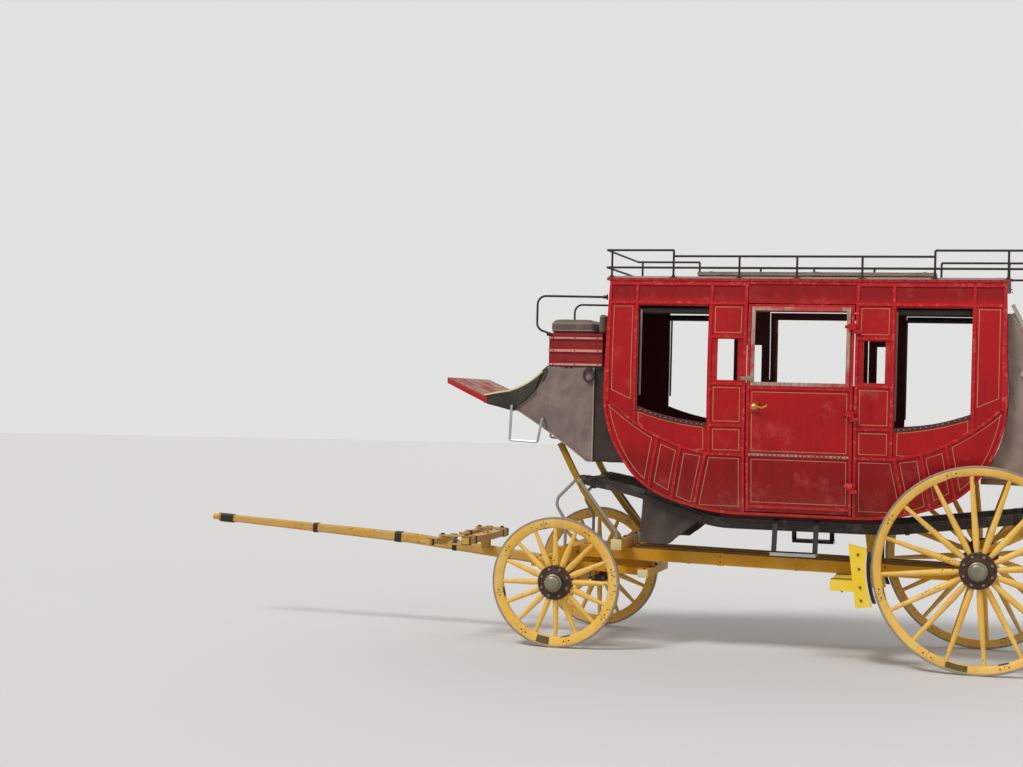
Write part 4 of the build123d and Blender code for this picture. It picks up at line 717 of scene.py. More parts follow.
def bevel_edges(bm: Shape, width: float, segments: int = 2, sharp: float = 30.0) -> None:
    """Rounds every edge that is sharper than an angle in degrees."""
    edges = [e for e in bm.edges if len(e.link_faces) == 2 and e.calc_face_angle(0) > math.radians(sharp)]
    bmesh.ops.bevel(bm, geom=edges, offset=width, affect="EDGES", segments=segments, profile=0.5,
                    material=-1, clamp_overlap=True)


def box_shape(size: Sequence[float], bevel: float = 0.0, segments: int = 2) -> Shape:
    """A block about the origin with rounded edges."""
    bm = bmesh.new()
    bmesh.ops.create_cube(bm, size=1.0, matrix=Matrix.Diagonal((*size, 1.0)))
    if bevel:
        bevel_edges(bm, bevel, segments)
    return bm


def plate_shape(outline: Sequence[Point], depth: float, bevel: float, segments: int = 2) -> Shape:
    """A flat plate from an outline in its own x and y, depth deep along +z, with rounded edges."""
    bm = swept(flat_shape((a, b, 0.0) for a, b in outline), (0, 0, depth))
    bmesh.ops.recalc_face_normals(bm, faces=bm.faces)
    bevel_edges(bm, bevel, segments)
    return bm


def turned_shape(profile: Sequence[Point], steps: int = 48) -> Shape:
    """A turned shape about z from (radius, height) points; the ends may lie on the axis."""
    bm = bmesh.new()
    verts = [bm.verts.new((radius, 0.0, height)) for radius, height in profile]
    edges = [bm.edges.new(pair) for pair in zip(verts, verts[1:])]
    bmesh.ops.spin(bm, geom=verts + edges, cent=(0, 0, 0), axis=(0, 0, 1), angle=2 * math.pi, steps=steps,
                   use_merge=True)
    bmesh.ops.remove_doubles(bm, verts=bm.verts, dist=1e-6)
    bmesh.ops.recalc_face_normals(bm, faces=bm.faces)
    return bm


def ring_shape(section: Sequence[Point], steps: int = 128) -> Shape:
    """A closed ring about z from a closed section of (radius, height) points."""
    return turned_shape([*section, section[0]], steps)


def rounded(points: Iterable[Sequence[float]], bend: float) -> list[Vector]:
    """The points of a line whose corners are rounded from a distance before them."""
    corners = [Vector(p) for p in points]
    line = [corners[0]]
    for before, corner, after in zip(corners, corners[1:], corners[2:]):
        reach = min(bend, (corner - before).length * 0.45, (after - corner).length * 0.45)
        start = corner + (before - corner).normalized() * reach
        end = corner + (after - corner).normalized() * reach
        for share in (0.0, 0.2, 0.4, 0.6, 0.8, 1.0):
            line.append(start.lerp(corner, share).lerp(corner.lerp(end, share), share))
    return [*line, corners[-1]]


def strap_shape(points: Iterable[Sequence[float]], across: Sequence[float], thickness: float, *,
                bend: float = 0.0, closed: bool = False, offset: float = 0.0, bevel: float = 0.0
                ) -> Shape:
    """A flat strap or iron: a line in one plane, swept sideways and as thick as given.

    Args:
        points: the line of its inner face; across points out of the line's plane.
        across: the sweep, from the line to the strap's other edge.
        thickness: grows to the left of the line as seen from across; outwards on a closed line.
        bend: how far from its corners the line starts to bend.
        closed: whether the line joins up.
        offset: shifts the inner face the same way as the thickness.
        bevel: the width of its rounded edges.

    Returns:
        The closed shape.
    """
    line = rounded(points, bend) if bend else [Vector(p) for p in points]
    sweep = Vector(across)
    out = sweep.normalized()
    last = len(line) - 1
    normals = []
    for number, point in enumerate(line):
        before = (point - line[number - 1]).normalized() if closed or number else None
        after = (line[(number + 1) % len(line)] - point).normalized() if closed or number < last else None
        first = out.cross(before or after)
        second = out.cross(after or before)
        middle = (first + second).normalized()
        normals.append(middle / max(0.3, middle.dot(first)))
    if closed:
        centre = sum(line, Vector()) / len(line)
        if (line[0] + normals[0] * 0.001 - centre).length < (line[0] - centre).length:
            normals = [-normal for normal in normals]
    bm = bmesh.new()
    inner = [bm.verts.new(p + n * offset) for p, n in zip(line, normals)]
    outer = [bm.verts.new(p + n * (offset + thickness)) for p, n in zip(line, normals)]
    for number in range(len(line) if closed else last):
        after = (number + 1) % len(line)
        bm.faces.new([inner[number], inner[after], outer[after], outer[number]])
    swept(bm, sweep)
    bmesh.ops.recalc_face_normals(bm, faces=bm.faces)
    if bevel:
        bevel_edges(bm, bevel, 1, 50)
    return bm


def hoop_shape(low: Sequence[float], high: Sequence[float], axis: int, middle: float, width: float,
               chamfer: float = 0.0, thickness: float = 0.004) -> Shape:
    """An iron band round a squared bar between two corners, at a place along an axis."""
    first, second = [n for n in range(3) if n != axis]
    corners = []
    for a, b in ((low, low), (high, low), (high, high), (low, high)):
        corner = Vector()
        corner[axis], corner[first], corner[second] = middle - width / 2, a[first], b[second]
        corners.append(corner)
    across = Vector()
    across[axis] = width
    if chamfer:
        around = zip(corners[-1:] + corners[:-1], corners, corners[1:] + corners[:1])
        corners = [corner + (other - corner).normalized() * chamfer
                   for before, corner, after in around for other in (before, after)]
    return strap_shape(corners, across, thickness, closed=True, offset=0.0002, bevel=0.001)


def turned(degrees: float, axis: str) -> Matrix:
    """A turn about an axis."""
    return Matrix.Rotation(math.radians(degrees), 4, axis)


def facing(point: Sequence[float], direction: Sequence[float]) -> Matrix:
    """A place whose z axis looks along a direction."""
    return Matrix.Translation(point) @ Vector(direction).to_track_quat("Z", "Y").to_matrix().to_4x4()


def rod_shape(points: Sequence[Sequence[float]], radius: float, bend: float = 0.04, sides: int = 12
              ) -> Shape:
    """A round rod through points, bent at its corners on arcs.

    Args:
        points: the corners, in the row frame.
        radius: the rod's radius.
        bend: how far from a corner its bend starts.
        sides: how many flats go round it.

    Returns:
        The rod, closed at both ends.
    """
    line = rounded(points, bend)
    curve = bpy.data.curves.new("rod", "CURVE")
    curve.dimensions = "3D"
    curve.bevel_depth = radius
    curve.bevel_resolution = max(1, sides // 4 - 1)
    curve.use_fill_caps = True
    spline = curve.splines.new("POLY")
    spline.points.add(len(line) - 1)
    for place, point in zip(spline.points, line):
        place.co = (*point, 1.0)
    carrier = bpy.data.objects.new("rod", curve)
    mesh = bpy.data.meshes.new_from_object(carrier)
    bm = bmesh.new()
    bm.from_mesh(mesh)
    bpy.data.objects.remove(carrier)
    bpy.data.curves.remove(curve)
    bpy.data.meshes.remove(mesh)
    bmesh.ops.remove_doubles(bm, verts=bm.verts, dist=1e-6)
    return bm


def bolt_shape(radius: float, height: float, sides: int) -> Shape:
    """A low tapered bolt or nail head on the xy plane."""
    bm = bmesh.new()
    bmesh.ops.create_cone(bm, cap_ends=True, segments=sides, radius1=radius, radius2=radius * 0.72,
                          depth=height, matrix=Matrix.Translation((0, 0, height / 2)))
    return bm


def rectangle(left: float, low: float, right: float, high: float) -> list[Point]:
    """A rectangle's four corners."""
    return [(left, low), (right, low), (right, high), (left, high)]


@dataclass
class Skin:
    """The outer face of one side of the cabin, on which flat patterns are laid."""

    side: Side
    middle: float

    def point(self, along: float, height: float, rise: float = 0.0) -> Vector:
        """A point on the side: along is rearwards from the cabin's middle."""
        return Vector((self.middle + along, self.side.value * (BELLY.half(height) + rise), height))

    def matrix(self, along: float, height: float, rise: float = 0.0) -> Matrix:
        """A place whose z axis faces out of the side and whose y axis runs up it."""
        up = (self.point(along, height + 0.01) - self.point(along, height - 0.01)).normalized()
        across = Vector((1, 0, 0)) * -self.side.value
        out = across.cross(up)
        turn = Matrix((across, up, out)).transposed().to_4x4()
        return Matrix.Translation(self.point(along, height, rise)) @ turn

    def lay(self, bm: Shape, rise: float, step: float = 0.06) -> None:
        """Wraps a flat pattern, drawn as (along, 0, height), on the side.

        Args:
            bm: the pattern; y of its points is the height over the skin.
            rise: added to that height.
            step: how far apart its cuts are, so that it follows the belly.
        """
        low = min(v.co.z for v in bm.verts)
        high = max(v.co.z for v in bm.verts)
        count = max(1, int((high - low) / step))
        for number in range(1, count):
            cut_plane(bm, (0, 0, 1), low + (high - low) * number / count, dist=1e-6)
        for vert in bm.verts:
            vert.co = self.point(vert.co.x, vert.co.z, rise + vert.co.y)


def patch_shape(outline: Sequence[Point], depth: float) -> Shape:
    """A flat patch from (along, height) corners, as a pattern for Skin.lay."""
    return swept(flat_shape((a, 0.0, b) for a, b in outline), (0, depth, 0))


def stripe_shape(outline: Sequence[Point], inset: float, width: float, thickness: float) -> Shape:
    """A line that runs inside an outline, as a flat pattern for Skin.lay.

    Args:
        outline: the panel's corners, as (along, height).
        inset: how far inside the panel the line runs.
        width: the line's width.
        thickness: how far it stands up.

    Returns:
        The line's surface.
    """
    bm = flat_shape((a, 0.0, b) for a, b in outline)
    face = bm.faces[:][0]
    face.normal_update()
    if inset:
        rim = bmesh.ops.inset_individual(bm, faces=[face], thickness=inset, depth=0.0, use_even_offset=True)
        bmesh.ops.delete(bm, geom=rim["faces"], context="FACES")
    bmesh.ops.inset_individual(bm, faces=[face], thickness=width, depth=0.0, use_even_offset=True)
    bmesh.ops.delete(bm, geom=[face], context="FACES")
    return swept(bm, (0, thickness, 0))


def arc_points(start: Point, end: Point, sag: float, count: int = 10) -> list[Point]:
    """Points from start to end on an arc whose middle hangs below the chord by sag."""
    (a, low), (b, high) = start, end
    return [(a + (b - a) * share, low + (high - low) * share - 4 * sag * share * (1 - share))
            for share in (number / count for number in range(count + 1))]


# Sub-assemblies


@dataclass
class Wheel:
    """One spoked wheel: iron tyre, felloes in eight lengths, sixteen spokes, and a flanged iron hub."""

    end: str
    side: Side
    felloe: float
    phase: float
    spokes: int = 16
    tyre_thickness: float = 0.017
    tyre_width: float = 0.044
    felloe_width: float = 0.042
    hub_radius: float = 0.084
    flange_radius: float = 0.140
    flange_bolts: int = 8
    mended: float = -101.0

    def __post_init__(self) -> None:
        """Reads the wheel's place and radius from the frame, and finds the felloe's edges."""
        low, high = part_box(f"tyre_{self.end}_{self.side.word}")
        self.radius = (high.z - low.z) / 2
        self.outer = self.radius - self.tyre_thickness
        self.inner = self.outer - self.felloe
        self.centre = (low + high) / 2
        self.key = f"{self.end}_{self.side.word}"
        turn = Matrix(((1, 0, 0), (0, 0, self.side.value), (0, 1, 0))).to_4x4()
        self.stand = Matrix.Translation(self.centre) @ turn

    def place(self, angle: float, radius: float, out: float) -> Matrix:
        """A place on the wheel's face, z outwards and x along the spoke."""
        return Matrix.Rotation(angle, 4, "Z") @ Matrix.Translation((radius, 0, out))

    def build(self) -> None:
        """Builds the wheel's three pieces and its fittings."""
        self._tyre()
        self._wood()
        self._joints()
        self._hub()
        self._repair()

    def _fit(self, bm: Shape, name: str, finish: Finish, replaced: str = "", angle: float = 35.0) -> None:
        """Stands a shape made about z on the wheel's axle, in place of a CAD node of this wheel."""
        bm.transform(self.stand)
        nodes = [f"{replaced}_{self.key}"] if replaced else []
        finish_piece(bm, f"{name}_{self.key}", f"{self.key}_wheel", finish, replaces=nodes, angle=angle)

    def _tyre(self) -> None:
        """The iron tyre with rounded edges."""
        inner, outer = self.outer, self.radius
        half = self.tyre_width / 2
        soft = 0.004
        bm = ring_shape([(inner, -half + 0.001), (outer - soft, -half), (outer, -half + soft),
                         (outer, half - soft), (outer - soft, half), (inner, half - 0.001)])
        # The tyre's pale iron is partly painted sunlight.
        self._fit(bm, "iron_tyre", WORN_SUNLIT_TYRE, "tyre")

    def _spoke(self, foot: float, tip: float) -> Shape:
        """One spoke along +x: square at the hub, full and oval a third of the way out, round at the tip."""
        bm = bmesh.new()
        # Columns: share of the length, width in the wheel's plane, thickness along the axle
        sections = [(0.0, 0.030, 0.046), (0.07, 0.034, 0.044), (0.16, 0.046, 0.041), (0.3, 0.051, 0.040),
                    (0.55, 0.044, 0.036), (0.85, 0.034, 0.031), (1.0, 0.031, 0.030)]
        previous = None
        for share, width, thickness in sections:
            place = Matrix.Translation((foot + (tip - foot) * share, 0, 0)) @ turned(90, "Y")
            size = Matrix.Diagonal((thickness / 2, width / 2, 1, 1))
            ring = bmesh.ops.create_circle(bm, cap_ends=False, segments=12, radius=1.0, matrix=place @ size)
            edges = list({e for v in ring["verts"] for e in v.link_edges})
            if previous:
                bmesh.ops.bridge_loops(bm, edges=previous + edges)
            previous = edges
        return bm

    def _wood(self) -> None:
        """Felloes and spokes in chipped yellow."""
        inner, outer = self.inner, self.outer
        half = self.felloe_width / 2
        soft = 0.009
        bm = ring_shape([(inner + soft, -half), (outer, -half), (outer, half), (inner + soft, half),
                         (inner, half - soft), (inner, -half + soft)])
        spoke = self._spoke(self.hub_radius, inner + 0.006)
        stamp(bm, spoke, [Matrix.Rotation(math.radians(self.phase) + 2 * math.pi * n / self.spokes, 4, "Z")
                          for n in range(self.spokes)])
        self._fit(bm, "spoked_wood", YELLOW, "wheel", 50)

    def _joints(self) -> None:
        """Dark lines where the felloes meet, with iron clips and bolts at them."""
        joints = bmesh.new()
        line = box_shape((self.felloe + 0.0004, 0.0022, self.felloe_width + 0.0012))
        angles = [math.radians(self.phase) + 2 * math.pi * (n + 0.5) / self.spokes
                  for n in range(0, self.spokes, 2)]
        stamp(joints, line, [self.place(a, self.outer - self.felloe / 2 - 0.0003, 0.0) for a in angles])
        self._fit(joints, "felloe_joints", DARK_LEATHER)
        clips = bmesh.new()
        clip = box_shape((0.003, 0.085, self.felloe_width + 0.005), 0.001)
        stamp(clips, clip, [self.place(a, self.inner + 0.0006, 0.0) for a in angles[::2]])
        ring, face = self.outer - self.felloe * 0.45, self.felloe_width / 2
        heads = [self.place(angle + turn, ring, way * face) @ turned(90 - 90 * way, "X")
                 for angle in angles for turn in (-0.045, 0.045) for way in (-1, 1)]
        stamp(clips, bolt_shape(0.0065, 0.004, 8), heads)
        self._fit(clips, "felloe_clips", HUB_IRON)

    def _repair(self) -> None:
        """A bolted plate over a mended length of the felloe."""
        middle = self.outer - self.felloe / 2
        face = self.felloe_width / 2
        reach, spread = self.felloe / 2 - 0.006, 0.11
        outline = [((middle + way * reach) * math.cos(a), (middle + way * reach) * math.sin(a))
                   for way, turns in ((1, (-1, -0.5, 0, 0.5, 1)), (-1, (1, 0.5, 0, -0.5, -1)))
                   for a in (turn * spread for turn in turns)]
        plate = plate_shape(outline, 0.004, 0.001, 1)
        for share in (-0.8, 0.0, 0.8):
            join_into(plate, bolt_shape(0.007, 0.004, 6), self.place(share * spread, middle, 0.0038))
        plate.transform(turned(self.mended, "Z") @ Matrix.Translation((0, 0, face)))
        self._fit(plate, "repair_plate", RUST_PLATE)

    def _hub(self) -> None:
        """Turned hub with two bolted flanges, collar and domed cap."""
        r, f = self.hub_radius, self.flange_radius
        profile = [(0.0, -0.150), (0.060, -0.150), (0.066, -0.146), (r - 0.004, -0.044), (r, -0.039),
                   (f - 0.004, -0.039), (f, -0.035), (f, -0.030), (f - 0.003, -0.027), (r, -0.027),
                   (r, 0.027), (f - 0.003, 0.027), (f, 0.030), (f, 0.035), (f - 0.004, 0.039),
                   (f - 0.016, 0.039), (f - 0.018, 0.037), (f - 0.040, 0.037), (f - 0.043, 0.041),
                   (r + 0.004, 0.043), (r, 0.047), (r, 0.062), (r - 0.003, 0.066), (r - 0.003, 0.086),
                   (r - 0.006, 0.092), (0.068, 0.092)]
        self._fit(turned_shape(profile, 64), "hub_shell", HUB_IRON, "hub", 28)
        cap = turned_shape([(0.072, 0.090), (0.070, 0.093), (0.062, 0.096), (0.060, 0.101), (0.062, 0.104),
                            (0.061, 0.114), (0.055, 0.124), (0.044, 0.131), (0.026, 0.1335), (0.010, 0.134),
                            (0.0, 0.134)], 48)
        self._fit(cap, "hub_cap", NUT_IRON, angle=40)
        places = []
        for n in range(self.flange_bolts):
            angle = 2 * math.pi * (n + 0.5) / self.flange_bolts
            places.append(self.place(angle, f - 0.028, 0.0365))
            places.append(self.place(angle, f - 0.028, -0.038) @ turned(180, "X"))
        self._fit(studs(places, 0.0155, 0.012, 6), "flange_bolts", NUT_IRON, angle=25)


@dataclass
class CabinSide:
    """The dressing of one side of the cabin: painted lines, sills, frames, curtains and nails."""

    side: Side
    door_half: float = 0.412
    edge: float = 0.011
    belt: float = 1.600
    rail: float = 1.828
    window_low: float = 2.159
    frieze_low: float = 2.528
    frieze_high: float = 2.784
    stripe_width: float = 0.004
    stripe_inset: float = 0.020
    nail_radius: float = 0.0055
    hinge_heights: tuple[float, ...] = (1.382, 1.940, 2.618)
    skin: Skin = field(init=False)

    def __post_init__(self) -> None:
        """Finds the side's skin."""
        self.skin = Skin(self.side, BODY_MIDDLE)

    def build(self) -> None:
        """Builds everything that is fixed to this side and its door."""
        self._wall_stripes()
        self._door_stripes()
        self._sills()
        self._door_frame()
        self._curtains()
        self._latch()
        self._hinges()

    def wall_panels(self) -> list[list[Point]]:
        """The flush panels of half the wall, between its mouldings, as (along, height)."""
        edge, top = self.edge, self.frieze_high
        post, quarter = 0.433 + edge, 0.708 - edge
        end_in, end_out = 1.311 + edge, 1.531 - edge
        belt_low, belt_high = self.belt - edge, self.belt + edge
        sill = arc_points((0.733, 1.826), (1.30, 1.946), 0.022, 6)
        belt_top = arc_points((0.730, belt_high), (1.300, 1.822), 0.066, 8)
        return [
            rectangle(post, self.frieze_low + edge, quarter, top),
            rectangle(post, self.rail + edge, quarter, self.window_low - edge),
            [(end_in, 1.985), (end_out, 2.075), (end_out, top), (end_in, top)],
            rectangle(post, belt_high, quarter, self.rail - edge),
            belt_top + list(reversed(sill)),
            [(0.447, 1.165), (0.812, 1.165), (0.722, belt_low), (0.447, belt_low)],
            [(0.838, 1.175), (0.992, 1.235), (0.922, 1.618), (0.750, 1.594)],
            [(1.022, 1.262), (1.172, 1.345), (1.108, 1.690), (0.948, 1.628)],
            [(1.214, 1.338), (1.275, 1.392), *arc_through((1.332, 1.453), (1.489, 1.760), (1.538, 1.975), 8),
             *reversed(arc_points((1.142, 1.722), (1.515, 1.985), 0.0175, 6))],
        ]

    def _stripes(self, panels: Iterable[list[Point]], name: str, on_door: bool = False) -> None:
        """Lays a tan line inside each panel."""
        whole = bmesh.new()
        for panel in panels:
            bm = stripe_shape(panel, self.stripe_inset, self.stripe_width, 0.0012)
            self.skin.lay(bm, 0.0001, 0.02)
            join_into(whole, bm)
        self._fit(whole, name, STRIPE, on_door=on_door)

    def _wall_stripes(self) -> None:
        """The lines on the wall's panels, fore and aft alike."""
        panels = self.wall_panels()
        self._stripes(panels + [[(-a, b) for a, b in panel] for panel in panels], "wall_lines")

    def _door_stripes(self) -> None:
        """The lines on the door's two panels."""
        half = self.door_half - 0.022
        panels = [rectangle(-half, 1.612, half, 2.119), rectangle(-half, 1.206, half, 1.588)]
        self._stripes(panels, "door_lines", on_door=True)

    def _fit(self, bm: Shape, name: str, finish: Finish, *, on_door: bool = False,
             replaced: Sequence[str] = ()) -> None:
        """Finishes a shape as a piece of this side's wall or door."""
        word = self.side.word
        body = f"{word}_door" if on_door else "coach"
        finish_piece(bm, f"{name}_{word}", body, finish, replaces=replaced)

    def _nails(self, places: Iterable[tuple[float, float]], rise: float) -> Shape:
        """Round nail heads on the skin at (along, height)."""
        return studs([self.skin.matrix(a, h, rise) for a, h in places], self.nail_radius, 0.0035)

    def _sills(self) -> None:
        """Nailed leather along the quarter windows' sills and a nailed strip on the door."""
        leather, nails = bmesh.new(), bmesh.new()
        for way in (1, -1):
            line = arc_points((0.722, 1.838), (1.302, 1.962), 0.022, 14)
            low = [(a, h - 0.024) for a, h in line]
            strip = patch_shape([(way * a, h) for a, h in line + list(reversed(low))], 0.006)
            self.skin.lay(strip, 0.0)
            join_into(leather, strip)
            join_into(nails, self._nails([(way * a, h - 0.012) for a, h in line[1:-1]], 0.006))
        self._fit(leather, "sill_leather", DARK_LEATHER)
        self._fit(nails, "sill_nails", STEEL)
        half = self.door_half - 0.024
        strip = patch_shape(rectangle(-half, 1.596, half, 1.612), 0.004)
        self.skin.lay(strip, 0.0085)
        self._fit(strip, "door_sill_strip", BLEACHED, on_door=True)
        row = [(-half + 0.02 + n * (2 * half - 0.04) / 22, 1.604) for n in range(23)]
        self._fit(self._nails(row, 0.0120), "door_sill_nails", IRON, on_door=True)

    def _door_frame(self) -> None:
        """The bleached frame round the door's window."""
        bm = stripe_shape(rectangle(-0.384, 2.146, 0.384, 2.768), 0.0, 0.030, 0.0125)
        bmesh.ops.recalc_face_normals(bm, faces=bm.faces)
        bevel_edges(bm, 0.002, 1, 60)
        self.skin.lay(bm, 0.0)
        self._fit(bm, "door_window_frame", BLEACHED, on_door=True)

    def _curtains(self) -> None:
        """Curtains rolled up under the tops of the quarter windows, and two hanging edges."""
        bm = bmesh.new()
        inner = BELLY.half(2.72) - 0.062
        for way in (1, -1):
            ends = [Vector((BODY_MIDDLE + way * a, self.side.value * inner, 2.735)) for a in (0.735, 1.29)]
            join_into(bm, rod_shape(ends, 0.026, sides=16))
        for vert in bm.verts:
            vert.co.z += 0.004 * math.sin(vert.co.x * 23.0)
        self._fit(bm, "rolled_curtains", DARK_LEATHER)
        edges = []
        y, top = self.side.value * (BELLY.half(2.4) - 0.040), 2.74
        for along, bottom in ((-1.277, 2.05), (0.732, 1.90)):
            edge = box_shape((0.016, 0.008, top - bottom), 0.003)
            edge.transform(Matrix.Translation((BODY_MIDDLE + along, y, (top + bottom) / 2)))
            edges.append(edge)
        gather(f"curtain_edges_{self.side.word}", CANVAS, edges)

    def _latch(self) -> None:
        """The latch plate and its brass lever handle at the door's front edge."""
        along, height = -self.door_half + 0.062, 1.98
        plate = plate_shape(rectangle(-0.038, -0.042, 0.038, 0.042), 0.008, 0.002)
        plate.transform(self.skin.matrix(along, height, 0.003))
        self._fit(plate, "latch_plate", TRIM_RED, on_door=True)
        out = -self.side.value
        bm = turned_shape([(0.0, 0.0), (0.024, 0.0), (0.024, 0.003), (0.015, 0.007), (0.0115, 0.009),
                           (0.0115, 0.024), (0.014, 0.026), (0.014, 0.034), (0.010, 0.037),
                           (0.0, 0.038)], 24)
        lever = rod_shape([(0, 0, 0.030), (0.03 * out, 0.004, 0.031), (0.065 * out, -0.006, 0.029),
                           (0.095 * out, 0.004, 0.030), (0.108 * out, 0.012, 0.030)], 0.0065, 0.02, 12)
        for vert in lever.verts:
            vert.co.y *= 1.35
        join_into(bm, lever)
        screws = [Matrix.Translation((*corner, 0.0)) for corner in rectangle(-0.018, -0.016, 0.018, 0.016)]
        join_into(bm, studs(screws, 0.004, 0.0025))
        bm.transform(self.skin.matrix(along, height, 0.0108))
        self._fit(bm, "lever_handle", BRASS, on_door=True, replaced=[f"latch_{self.side.word}"])

    def _hinges(self) -> None:
        """Strap leaves at the three hinges, and the bolt across the door's front edge."""
        word = self.side.word
        leaves, heads = [], []
        for height in self.hinge_heights:
            leaf = patch_shape([(0.340, height - 0.011), (0.392, height - 0.018), (0.392, height + 0.018),
                                (0.340, height + 0.011)], 0.004)
            self.skin.lay(leaf, 0.0086)
            leaves.append(leaf)
            heads += [(0.352, height), (0.380, height)]
        leaves.append(self._nails(heads, 0.0125))
        gather(f"hinge_leaves_{word}", TRIM_RED, leaves, f"{word}_door")
        along, height = -0.412, 2.200
        bolt = box_shape((0.104, 0.030, 0.008), 0.003)
        slide = Matrix.Translation((0.034 * -self.side.value, 0, 0))
        join_into(bolt, box_shape((0.040, 0.044, 0.014), 0.004), slide)
        hook = [(-0.05, 0, 0.004), (-0.05, 0, 0.020), (-0.05, 0.018, 0.020)]
        join_into(bolt, rod_shape(hook, 0.004, 0.006, 8))
        bolt.transform(self.skin.matrix(along, height, 0.0145))
        self._fit(bolt, "door_bolt", STRAP_TAN, on_door=True)


@dataclass
class Cushion:
    """A stuffed cushion: a rounded pad, swollen as cloth, then crowned and tufted by hand."""

    name: str
    finish: Finish
    nodes: Sequence[str]
    low: Vector
    high: Vector
    voxel: float = 0.007
    pressure: float = 4.0
    swell: float = 0.010
    tufts: tuple[int, int] = (0, 0)
    tuft_depth: float = 0.012
    cord: float = 0.0045
    quick_voxel: float = 0.012
    frames: int = 20

    def start_shape(self) -> bpy.types.Object:
        """The pad before it swells: a rounded block, a little smaller than its place."""
        size = self.high - self.low - Vector((0.016, 0.016, 0.014))
        centre = (self.high + self.low) / 2 - Vector((0, 0, 0.005))
        bm = box_shape(size, min(size) * 0.32, 4)
        bmesh.ops.translate(bm, verts=bm.verts, vec=centre)
        mesh = bpy.data.meshes.new(self.name)
        bm.to_mesh(mesh)
        bm.free()
        return show(self.name, mesh)

    def apply_modifiers(self, piece: bpy.types.Object) -> None:
        """Bakes a piece's modifiers into its mesh."""
        graph = bpy.context.evaluated_depsgraph_get()
        mesh = bpy.data.meshes.new_from_object(piece.evaluated_get(graph))
        piece.modifiers.clear()
        old = piece.data
        piece.data = mesh
        bpy.data.meshes.remove(old)

    def inflate(self, piece: bpy.types.Object) -> None:
        """Swells the pad as cloth and caps how far each point moves."""
        rest = [v.co.copy() for v in piece.data.vertices]
        cloth = piece.modifiers.new("swell", "CLOTH")
        cloth.settings.use_pressure = True
        cloth.settings.uniform_pressure_force = self.pressure
        cloth.settings.effector_weights.gravity = 0.0
        scene = bpy.context.scene
        for number in range(self.frames):
            scene.frame_set(number + 1)
        self.apply_modifiers(piece)
        scene.frame_set(1)
        for vert, start in zip(piece.data.vertices, rest):
            move = vert.co - start
            if move.length > self.swell:
                vert.co = start + move.normalized() * self.swell

    def shape_by_hand(self, piece: bpy.types.Object) -> None:
        """Flattens the base, crowns the top and draws in tufts."""
        size = self.high - self.low
        centre = (self.high + self.low) / 2
        for vert in piece.data.vertices:
            share_x = (vert.co.x - centre.x) / (size.x / 2)
            share_y = (vert.co.y - centre.y) / (size.y / 2)
            up = (vert.co.z - self.low.z) / size.z
            if up > 0.5:
                crown = (1 - min(1.0, share_x ** 2)) * (1 - min(1.0, share_y ** 4))
                vert.co.z += 0.006 * crown * (up - 0.5) * 2
                if all(self.tufts):
                    waves = (math.cos(math.pi * (share + 1) * count)
                             for share, count in zip((share_x, share_y), self.tufts))
                    vert.co.z -= self.tuft_depth * math.prod(max(0.0, -wave) ** 6 for wave in waves)
            vert.co.z = min(max(vert.co.z, self.low.z + 0.001), self.high.z + 0.004)

    def build(self) -> bpy.types.Object:
        piece = self.start_shape()
        remesh = piece.modifiers.new("even", "REMESH")
        remesh.mode = "VOXEL"
        remesh.voxel_size = self.voxel
        self.apply_modifiers(piece)
        self.inflate(piece)
        self.shape_by_hand(piece)
        piece.data.materials.clear()
        piece.data.materials.append(self.finish.material())
        piece.data.shade_smooth()
        smooth = piece.modifiers.new("smooth", "SUBSURF")
        smooth.levels = smooth.render_levels = 1
        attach(piece, "coach")
        if self.nodes:
            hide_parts(*self.nodes)
        LOG.info("%s: padded, %d faces", self.name, len(piece.data.polygons))
        return piece

    def piping(self, piece: bpy.types.Object, height: float) -> None:
        """A sewn cord round the finished cushion where a level plane cuts it."""
        bm = bmesh.new()
        bm.from_mesh(piece.data)
        cut_plane(bm, (0, 0, 1), height, clear_inner=True, clear_outer=True)
        bmesh.ops.remove_doubles(bm, verts=bm.verts, dist=2e-4)
        centre = sum((v.co for v in bm.verts), Vector()) / len(bm.verts)
        ring = sorted((v.co.copy() for v in bm.verts),
                      key=lambda place: math.atan2(place.y - centre.y, place.x - centre.x))
        bm.free()
        shape = rod_shape([*ring[::3], ring[0]], self.cord, 0.004, 8)
        finish_piece(shape, f"{self.name}_piping_{round(height * 1000)}", "coach", PALE_CANVAS)


